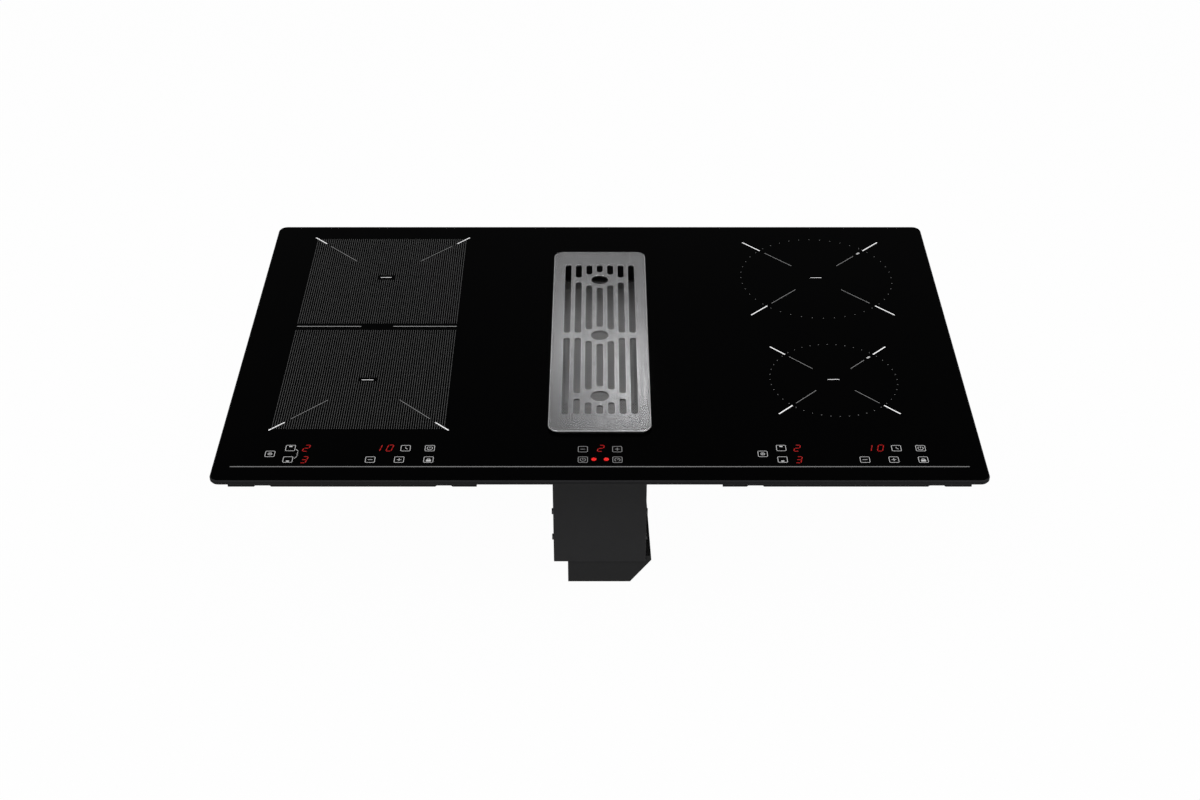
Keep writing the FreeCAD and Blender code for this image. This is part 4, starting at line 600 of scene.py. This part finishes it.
lit_red = make_lit_finish("lit_digit_red", DIGIT_GLOW)
for side, shift in (("left", 0.0), ("right", SIDE_SHIFT)):
    bars = [bar for digit, x, y in SIDE_READOUT for bar in lit_digit(digit, x + shift, y)]
    put(joined("lit_digits_" + side, bars), lit_red)
put(joined("lit_digit_middle", lit_digit(*MIDDLE_READOUT)), lit_red)
put(joined("fan_lamps", copies(ink_disc(LAMP_RADIUS, LAMP_SIDES), LAMP_PLACES)),
    make_lit_finish("lit_lamp_red", LAMP_GLOW))


# ---- Grille and trim collar ----------------------------------------------------------------------
# The grille is 2 mm stainless plate, cut, brushed along its length and eased on every edge, which leaves
# its rims smooth. The rims are coloured far paler than the plate, a painted highlight that makes them
# glint bright. It stands on silicone pads on the thin flange of a collar that lines the opening in the
# glass.
STEEL = (0.097, 0.097, 0.099, 1.0)
# Rim colour over six times the plate's: a painted glint on the eased edges. Only the lower roughness is
# real polish.
RIM_STEEL_PAINTED_GLINT = (0.62, 0.62, 0.625, 1.0)
EDGE_EASE = 0.95 * MM


def brushed(name, colour, roughness, density, strength=0.3):
    """Brushed metal: fine lines along one direction, over slow changes of sheen."""
    material, tree, shader = new_material(name, metallic=1.0)
    grain = add_grain(tree, shader, colour, roughness, density, 0.35, 0.22)
    add_bump(tree, shader, grain.outputs["Height"], strength, 0.00003)
    return material


def merged_copy(node, name):
    """A copy of a CAD piece with its loose triangles joined and its flat faces made whole."""
    deselect()
    twin = frame["nodes"][node].copy()
    twin.data = frame["nodes"][node].data.copy()
    twin.parent = None
    for key in list(twin.keys()):
        if key.startswith("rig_"):
            del twin[key]
    bpy.context.collection.objects.link(twin)
    twin.select_set(True)
    bpy.context.view_layer.objects.active = twin
    bpy.ops.object.mode_set(mode="EDIT")
    bpy.ops.mesh.select_all(action="SELECT")
    bpy.ops.mesh.customdata_custom_splitnormals_clear()
    bpy.ops.mesh.remove_doubles(threshold=0.00001)
    bpy.ops.mesh.dissolve_limited(angle_limit=math.radians(0.5))
    bpy.ops.mesh.normals_make_consistent(inside=False)
    bpy.ops.object.mode_set(mode="OBJECT")
    return settle(name)


steel = brushed("brushed_stainless", STEEL, 0.2, (900.0, 7.0, 900.0))
grille = merged_copy("grille", "grille_plate_eased")
bpy.ops.object.shade_smooth_by_angle(angle=math.radians(35))
put(grille, steel, "grille_plate")
# The eased faces take the pale rim colour: a painted highlight and glint.
grille.data.materials.append(brushed("eased_rim_painted_glint", RIM_STEEL_PAINTED_GLINT, 0.12, (700.0, 700.0, 700.0), 0.1))
apply_modifier(grille, "BEVEL", width=EDGE_EASE, segments=3, limit_method="ANGLE",
               angle_limit=math.radians(40), harden_normals=True, material=1)
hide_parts("grille")
dress(brushed("collar_steel", (0.10, 0.10, 0.10, 1.0), 0.4, (60.0, 1800.0, 1800.0)), "well_collar")
dress(grained("silicone", (0.03, 0.03, 0.03, 1.0), 0.6, 900.0, 0.2, 0.1), "grille_pads")


# ---- Grease filter -------------------------------------------------------------------------------
# The filter is a folded stainless rim round a sheet with close, staggered six-sided holes. It drops into
# the well and rests on the ledges of the duct.
CELL_PITCH = 2.9 * MM
CELL_WEB = 0.42 * MM
SHEET_THICKNESS = 0.4 * MM
SHEET_STEEL = (0.44, 0.44, 0.44, 1.0)

low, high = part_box("filter_mesh")
row_pitch = CELL_PITCH * math.sqrt(3) / 2
columns = int((high.x - low.x) / CELL_PITCH) - 1
rows = int((high.y - low.y) / (2 * row_pitch)) - 1
first_x = (low.x + high.x - (columns - 0.5) * CELL_PITCH) / 2
first_y = (low.y + high.y - (2 * rows - 1) * row_pitch) / 2
deselect()
bpy.ops.mesh.primitive_circle_add(vertices=6, radius=CELL_PITCH / math.sqrt(3), fill_type="NGON",
                                  location=(first_x, first_y, high.z - SHEET_THICKNESS))
sheet = settle("filter_sheet_perforated")
bpy.ops.object.mode_set(mode="EDIT")
bpy.ops.mesh.select_all(action="SELECT")
bpy.ops.mesh.inset(thickness=CELL_WEB)
bpy.ops.mesh.delete(type="FACE")
bpy.ops.mesh.select_all(action="SELECT")
bpy.ops.mesh.duplicate_move(TRANSFORM_OT_translate={"value": (CELL_PITCH / 2, row_pitch, 0)})
bpy.ops.object.mode_set(mode="OBJECT")
repeat(sheet, (0, columns, CELL_PITCH), (1, rows, 2 * row_pitch))
bpy.ops.object.mode_set(mode="EDIT")
bpy.ops.mesh.select_all(action="SELECT")
bpy.ops.mesh.remove_doubles(threshold=0.00002)
bpy.ops.mesh.normals_make_consistent(inside=False)
bpy.ops.object.mode_set(mode="OBJECT")
apply_modifier(sheet, "SOLIDIFY", thickness=SHEET_THICKNESS, offset=1.0)
put(sheet, grained("perforated_stainless", SHEET_STEEL, 0.58, 500.0, 0.25, 0.15, metallic=1.0), "filter")
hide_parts("filter_mesh")
dress(brushed("filter_rim_steel", (0.33, 0.33, 0.33, 1.0), 0.35, (40.0, 1500.0, 1500.0)), "filter_frame")


# ---- Duct, centre frame and front cover ----------------------------------------------------------
# The frame, the duct and its cover are folded sheet steel with a dark powder coat. The cover wraps the
# open front of the duct and is held by zinc-plated screws at its sides, and the duct hangs by its flange
# from the frame.
COAT_DARK = (0.014, 0.014, 0.0145, 1.0)
COVER_DARK = (0.038, 0.038, 0.039, 1.0)


def powder_coat(name, colour, roughness=0.5, specular=0.09):
    """Powder coat on sheet: the even orange peel of a baked paint, with slow changes of tone."""
    material, tree, shader = new_material(name, specular=specular)
    add_grain(tree, shader, colour, roughness, (14.0, 14.0, 14.0), 0.22, 0.12)
    place = add_node(tree, "TexCoord")
    peel = add_node(tree, "TexNoise")
    peel.inputs["Scale"].default_value = 1100.0
    peel.inputs["Detail"].default_value = 2.0
    connect(tree, (place.outputs["Object"], peel.inputs["Vector"]))
    add_bump(tree, shader, peel.outputs["Fac"], 0.18, 0.00006)
    return material


zinc = grained("zinc_plated", (0.42, 0.43, 0.44, 1.0), 0.36, 420.0, 0.3, 0.2, metallic=1.0)
dress(powder_coat("frame_coat", COAT_DARK), "centre_frame")
dress(powder_coat("duct_coat", COAT_DARK), "duct_housing")
dress(powder_coat("cover_coat", COVER_DARK, 0.46, 0.04), "front_cover")
dress(zinc, "duct_screws")
dress(grained("blackened_zinc", (0.05, 0.05, 0.05, 1.0), 0.4, 600.0, 0.3, 0.2, metallic=0.8),
      "cover_screws")


# ---- Blower and outlet ---------------------------------------------------------------------------
# A double-inlet wheel turns in a moulded scroll at the back of the duct, on the shaft of a small motor.
# Pressed brackets carry the motor and the far bearing. A moulded box laps over the duct and leads the air
# to the round outlet.
MOULDED_BLACK = (0.012, 0.012, 0.0125, 1.0)


def moulded(name, colour, roughness=0.5):
    """Injection moulded plastic: a fine spark-eroded texture."""
    material, tree, shader = new_material(name, specular=0.12)
    add_grain(tree, shader, colour, roughness, (30.0, 30.0, 30.0), 0.12, 0.1)
    place = add_node(tree, "TexCoord")
    pits = add_node(tree, "TexVoronoi")
    pits.inputs["Scale"].default_value = 1400.0
    connect(tree, (place.outputs["Object"], pits.inputs["Vector"]))
    add_bump(tree, shader, pits.outputs["Distance"], 0.15, 0.00004)
    return material


dress(moulded("scroll_plastic", MOULDED_BLACK), "blower_scroll")
dress(moulded("wheel_plastic", (0.10, 0.10, 0.105, 1.0), 0.42), "impeller")
dress(moulded("outlet_plastic", (0.028, 0.028, 0.029, 1.0)), "outlet_spigot")
dress(brushed("shaft_steel", (0.5, 0.5, 0.5, 1.0), 0.25, (2000.0, 60.0, 60.0)), "blower_shaft")
dress(grained("motor_can", (0.30, 0.31, 0.32, 1.0), 0.38, 160.0, 0.25, 0.2, metallic=1.0),
      "blower_motor")
dress(grained("pressed_zinc", (0.40, 0.41, 0.42, 1.0), 0.42, 240.0, 0.35, 0.2, metallic=1.0),
      "motor_bracket", "bearing_bracket")
dress(grained("bearing_bronze", (0.30, 0.19, 0.08, 1.0), 0.4, 900.0, 0.3, 0.15, metallic=1.0),
      "blower_bearing")


# ---- Water tank and its rails --------------------------------------------------------------------
# The tank is a moulded tray with one slanting side and an open mouth under the drain of the duct. It
# hangs by its lips in two folded rails and slides out towards the cook.
TANK_GREY = (0.016, 0.016, 0.0165, 1.0)

dress(moulded("tank_plastic", TANK_GREY, 0.42), "water_tank")
dress(powder_coat("rail_coat", (0.022, 0.022, 0.022, 1.0)), "tank_rails")


# ---- Bottom trays --------------------------------------------------------------------------------
# Each side hangs in a stepped tray of coated sheet, with pressed beads on the step and slots for cooling
# air.
TRAY_BLACK = (0.0095, 0.0095, 0.010, 1.0)

dress(powder_coat("tray_coat", TRAY_BLACK, 0.44), "tray_left", "tray_right")


# ---- Coils ---------------------------------------------------------------------------------------
# A plated deck carries four flat coils of stranded copper on moulded bridges, with ferrite bars below
# them. Mica mats part them from the glass, and a ceramic sensor in the middle of each coil reaches up to
# it.
COPPER = (0.55, 0.21, 0.09, 1.0)
STRAND_PITCH = 2.8 * MM
# The distance between rings of Blender's wave texture at a scale of 1.
WAVE_PITCH = 0.32


def make_winding_finish(zone):
    """Litz wire laid side by side: bands that follow the winding, with painted shade between the strands.
    """
    material, tree, shader = new_material("litz_copper_" + zone, metallic=1.0)
    grain = add_grain(tree, shader, COPPER, 0.42, (700.0, 700.0, 700.0), 0.4, 0.2)
    near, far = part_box("winding_" + zone)
    place = add_node(tree, "TexCoord")
    centre = add_node(tree, "Mapping", vector_type="POINT")
    centre.inputs["Location"].default_value = (-(near.x + far.x) / 2, -(near.y + far.y) / 2, 0.0)
    bands = add_node(tree, "TexWave", wave_type="RINGS", rings_direction="Z")
    bands.inputs["Scale"].default_value = WAVE_PITCH / STRAND_PITCH
    # Painted shade: the rings darken the copper's colour in the grooves between the strands.
    shadow = add_node(tree, "Mix", data_type="RGBA", blend_type="MULTIPLY")
    shadow.inputs["Factor"].default_value = 0.7
    connect(tree, (place.outputs["Object"], centre.inputs["Vector"]),
            (centre.outputs[0], bands.inputs["Vector"]), (grain.outputs["Colour"], shadow.inputs[6]),
            (bands.outputs["Color"], shadow.inputs[7]), (shadow.outputs[2], shader.inputs["Base Color"]))
    add_bump(tree, shader, bands.outputs["Fac"], 0.6, 0.0008)
    return material


def make_mica_finish():
    """Pressed mica: pale overlapping flakes."""
    material, tree, shader = new_material("mica")
    grain = add_grain(tree, shader, (0.52, 0.48, 0.40, 1.0), 0.45, (300.0, 300.0, 300.0), 0.2, 0.2)
    place = add_node(tree, "TexCoord")
    flakes = add_node(tree, "TexVoronoi")
    flakes.inputs["Scale"].default_value = 160.0
    shade = add_node(tree, "Mix", data_type="RGBA", blend_type="MULTIPLY")
    shade.inputs["Factor"].default_value = 0.35
    connect(tree, (place.outputs["Object"], flakes.inputs["Vector"]),
            (grain.outputs["Colour"], shade.inputs[6]), (flakes.outputs["Distance"], shade.inputs[7]),
            (shade.outputs[2], shader.inputs["Base Color"]))
    add_bump(tree, shader, flakes.outputs["Distance"], 0.2, 0.0001)
    return material


mica = make_mica_finish()
aluminium = brushed("rolled_aluminium", (0.62, 0.63, 0.64, 1.0), 0.38, (30.0, 900.0, 900.0), 0.15)
carrier = moulded("carrier_plastic", (0.16, 0.16, 0.155, 1.0), 0.55)
ferrite = grained("ferrite", (0.035, 0.034, 0.034, 1.0), 0.6, 900.0, 0.5, 0.2, strength=0.4)
for side in ("left", "right"):
    dress(aluminium, "coil_deck_" + side)
    dress(mica, "insulating_mat_" + side)
    for end in ("front", "rear"):
        zone = side + "_" + end
        dress(carrier, "coil_carrier_" + zone)
        dress(ferrite, "ferrites_" + zone)
        dress(make_winding_finish(zone), "winding_" + zone)
dress(grained("sensor_ceramic", (0.70, 0.69, 0.66, 1.0), 0.5, 800.0, 0.1, 0.1), "zone_sensors")


# ---- Electronics ---------------------------------------------------------------------------------
# Each tray holds a power board with an extruded heat sink, and a fan that blows along it. Touch boards
# with their displays are held against the glass along the front edge.
BOARD_GREEN = (0.012, 0.075, 0.030, 1.0)
TRACK_GREEN = (0.03, 0.15, 0.06, 1.0)


def make_board_finish():
    """Solder mask over tracks: a square-cornered relief with a slightly paler green where copper lies
    below."""
    material, tree, shader = new_material("circuit_board")
    shader.inputs["Coat Weight"].default_value = 0.3
    grain = add_grain(tree, shader, BOARD_GREEN, 0.35, (300.0, 300.0, 300.0), 0.2, 0.15)
    place = add_node(tree, "TexCoord")
    tracks = add_node(tree, "TexVoronoi", distance="CHEBYCHEV", feature="F1")
    tracks.inputs["Scale"].default_value = 220.0
    edges = add_node(tree, "Math", operation="GREATER_THAN")
    edges.inputs[1].default_value = 0.42
    paler = add_node(tree, "Mix", data_type="RGBA")
    paler.inputs[7].default_value = TRACK_GREEN
    connect(tree, (place.outputs["Object"], tracks.inputs["Vector"]),
            (tracks.outputs["Distance"], edges.inputs[0]), (edges.outputs[0], paler.inputs["Factor"]),
            (grain.outputs["Colour"], paler.inputs[6]), (paler.outputs[2], shader.inputs["Base Color"]))
    add_bump(tree, shader, edges.outputs[0], 0.3, 0.00005)
    return material


board = make_board_finish()
extruded = brushed("extruded_aluminium", (0.60, 0.61, 0.62, 1.0), 0.34, (1200.0, 20.0, 1200.0), 0.2)
fan_plastic = moulded("fan_plastic", (0.018, 0.018, 0.018, 1.0), 0.45)
for side in ("left", "right"):
    dress(board, "power_board_" + side)
    dress(extruded, "heat_sink_" + side)
    dress(fan_plastic, "fan_frame_" + side, "fan_rotor_" + side)
dress(board, "touch_boards")
dress(moulded("holder_plastic", (0.12, 0.12, 0.12, 1.0)), "touch_holders")
dress(grained("display_case", (0.02, 0.012, 0.012, 1.0), 0.3, 500.0, 0.2, 0.1), "displays")


# ---- Mains entry and worktop clamps --------------------------------------------------------------
# A nylon gland and a terminal block take the mains cable at the back of the left tray. Four spring steel
# clamps turn out under the worktop on shouldered pins.
dress(moulded("nylon_gland", (0.024, 0.024, 0.024, 1.0), 0.4), "cable_gland")
dress(moulded("terminal_plastic", (0.45, 0.45, 0.43, 1.0), 0.45), "terminal_block")
dress(zinc, "clamp_pins")
clamp_steel = grained("spring_steel", (0.34, 0.35, 0.37, 1.0), 0.34, 350.0, 0.3, 0.2, metallic=1.0)
for side in ("left", "right"):
    for end in ("front", "rear"):
        dress(clamp_steel, "clamp_%s_%s" % (side, end))


# ---- Floor, light and camera ---------------------------------------------------------------------
# The cooktop is seen from the cook's side against a plain pale floor, under soft light from above, and two
# small lamps behind it put the sheen on the grille. The floor and the world look white to the camera and
# in reflections, and light the cooktop only mildly.
FLOOR_HEIGHT = cad_box[0][2] - 2.0 * MM
FLOOR_SIDE = 30.0
FLOOR_GREY = (0.55, 0.55, 0.55, 1.0)
FLOOR_WHITENESS = 0.98
WORLD_GREY = (0.9, 0.9, 0.9, 1.0)
WORLD_STRENGTH = 0.45
# Each lamp: its name, place, side and power. They all face the origin.
LAMPS = (("key_light", (-1.4, -1.0, 2.4), 1.4, 34.0),
         ("fill_light", (1.7, -1.3, 1.9), 1.2, 24.0),
         ("top_light", (0.6, 0.2, 2.6), 1.4, 18.0),
         ("rear_light", (0.07, 1.66, 1.21), 0.06, 0.55),
         ("rear_left_light", (-0.06, 1.66, 1.12), 0.06, 0.22))
CAMERA_PLACE = (0.0003, -1.7466, 1.1541)
CAMERA_TILT = math.radians(54.829)
CAMERA_LENS = 55.17
CAMERA_SENSOR = 36.0


def show_white(tree, shader, share):
    """Mixes plain white into a shader for what the camera and reflections see of it."""
    path = add_node(tree, "LightPath")
    seen = add_node(tree, "Math", operation="MAXIMUM")
    also = add_node(tree, "Math", operation="MAXIMUM")
    part = add_node(tree, "Math", operation="MULTIPLY")
    part.inputs[1].default_value = share
    mixed = add_node(tree, "MixShader")
    connect(tree, (path.outputs["Is Camera Ray"], seen.inputs[0]),
            (path.outputs["Is Glossy Ray"], seen.inputs[1]), (seen.outputs[0], also.inputs[0]),
            (path.outputs["Is Transmission Ray"], also.inputs[1]), (also.outputs[0], part.inputs[0]),
            (part.outputs[0], mixed.inputs["Fac"]), (shader, mixed.inputs[1]))
    return mixed


deselect()
bpy.ops.mesh.primitive_plane_add(size=FLOOR_SIDE, location=(0, 0, FLOOR_HEIGHT))
floor = settle("pale_floor")
floor_paint, tree, shader = new_material("floor_paint", specular=0.0)
add_grain(tree, shader, FLOOR_GREY, 0.9, (3.0, 3.0, 3.0), 0.02, 0.02)
white = add_node(tree, "Emission")
mixed = show_white(tree, shader.outputs[0], FLOOR_WHITENESS)
connect(tree, (white.outputs[0], mixed.inputs[2]),
        (mixed.outputs[0], tree.nodes["Material Output"].inputs["Surface"]))
floor.data.materials.append(floor_paint)

world = bpy.data.worlds.new("studio")
bpy.context.scene.world = world
world.use_nodes = True
tree = world.node_tree
ambient = tree.nodes["Background"]
ambient.inputs["Color"].default_value = WORLD_GREY
ambient.inputs["Strength"].default_value = WORLD_STRENGTH
seen_white = add_node(tree, "Background")
seen_white.inputs["Color"].default_value = (1.0, 1.0, 1.0, 1.0)
mixed = show_white(tree, ambient.outputs[0], 1.0)
connect(tree, (seen_white.outputs[0], mixed.inputs[2]),
        (mixed.outputs[0], tree.nodes["World Output"].inputs["Surface"]))

for name, place, size, power in LAMPS:
    deselect()
    bpy.ops.object.light_add(type="AREA", location=place)
    lamp = bpy.context.object
    lamp.name = name
    lamp.data.size = size
    lamp.data.energy = power
    lamp.rotation_euler = (-lamp.location).to_track_quat("-Z", "Y").to_euler()

deselect()
bpy.ops.object.camera_add(location=CAMERA_PLACE, rotation=(CAMERA_TILT, 0.0, 0.0))
camera = bpy.context.object
camera.data.sensor_width = CAMERA_SENSOR
camera.data.lens = CAMERA_LENS
bpy.context.scene.camera = camera
bpy.context.scene.view_settings.view_transform = "Standard"
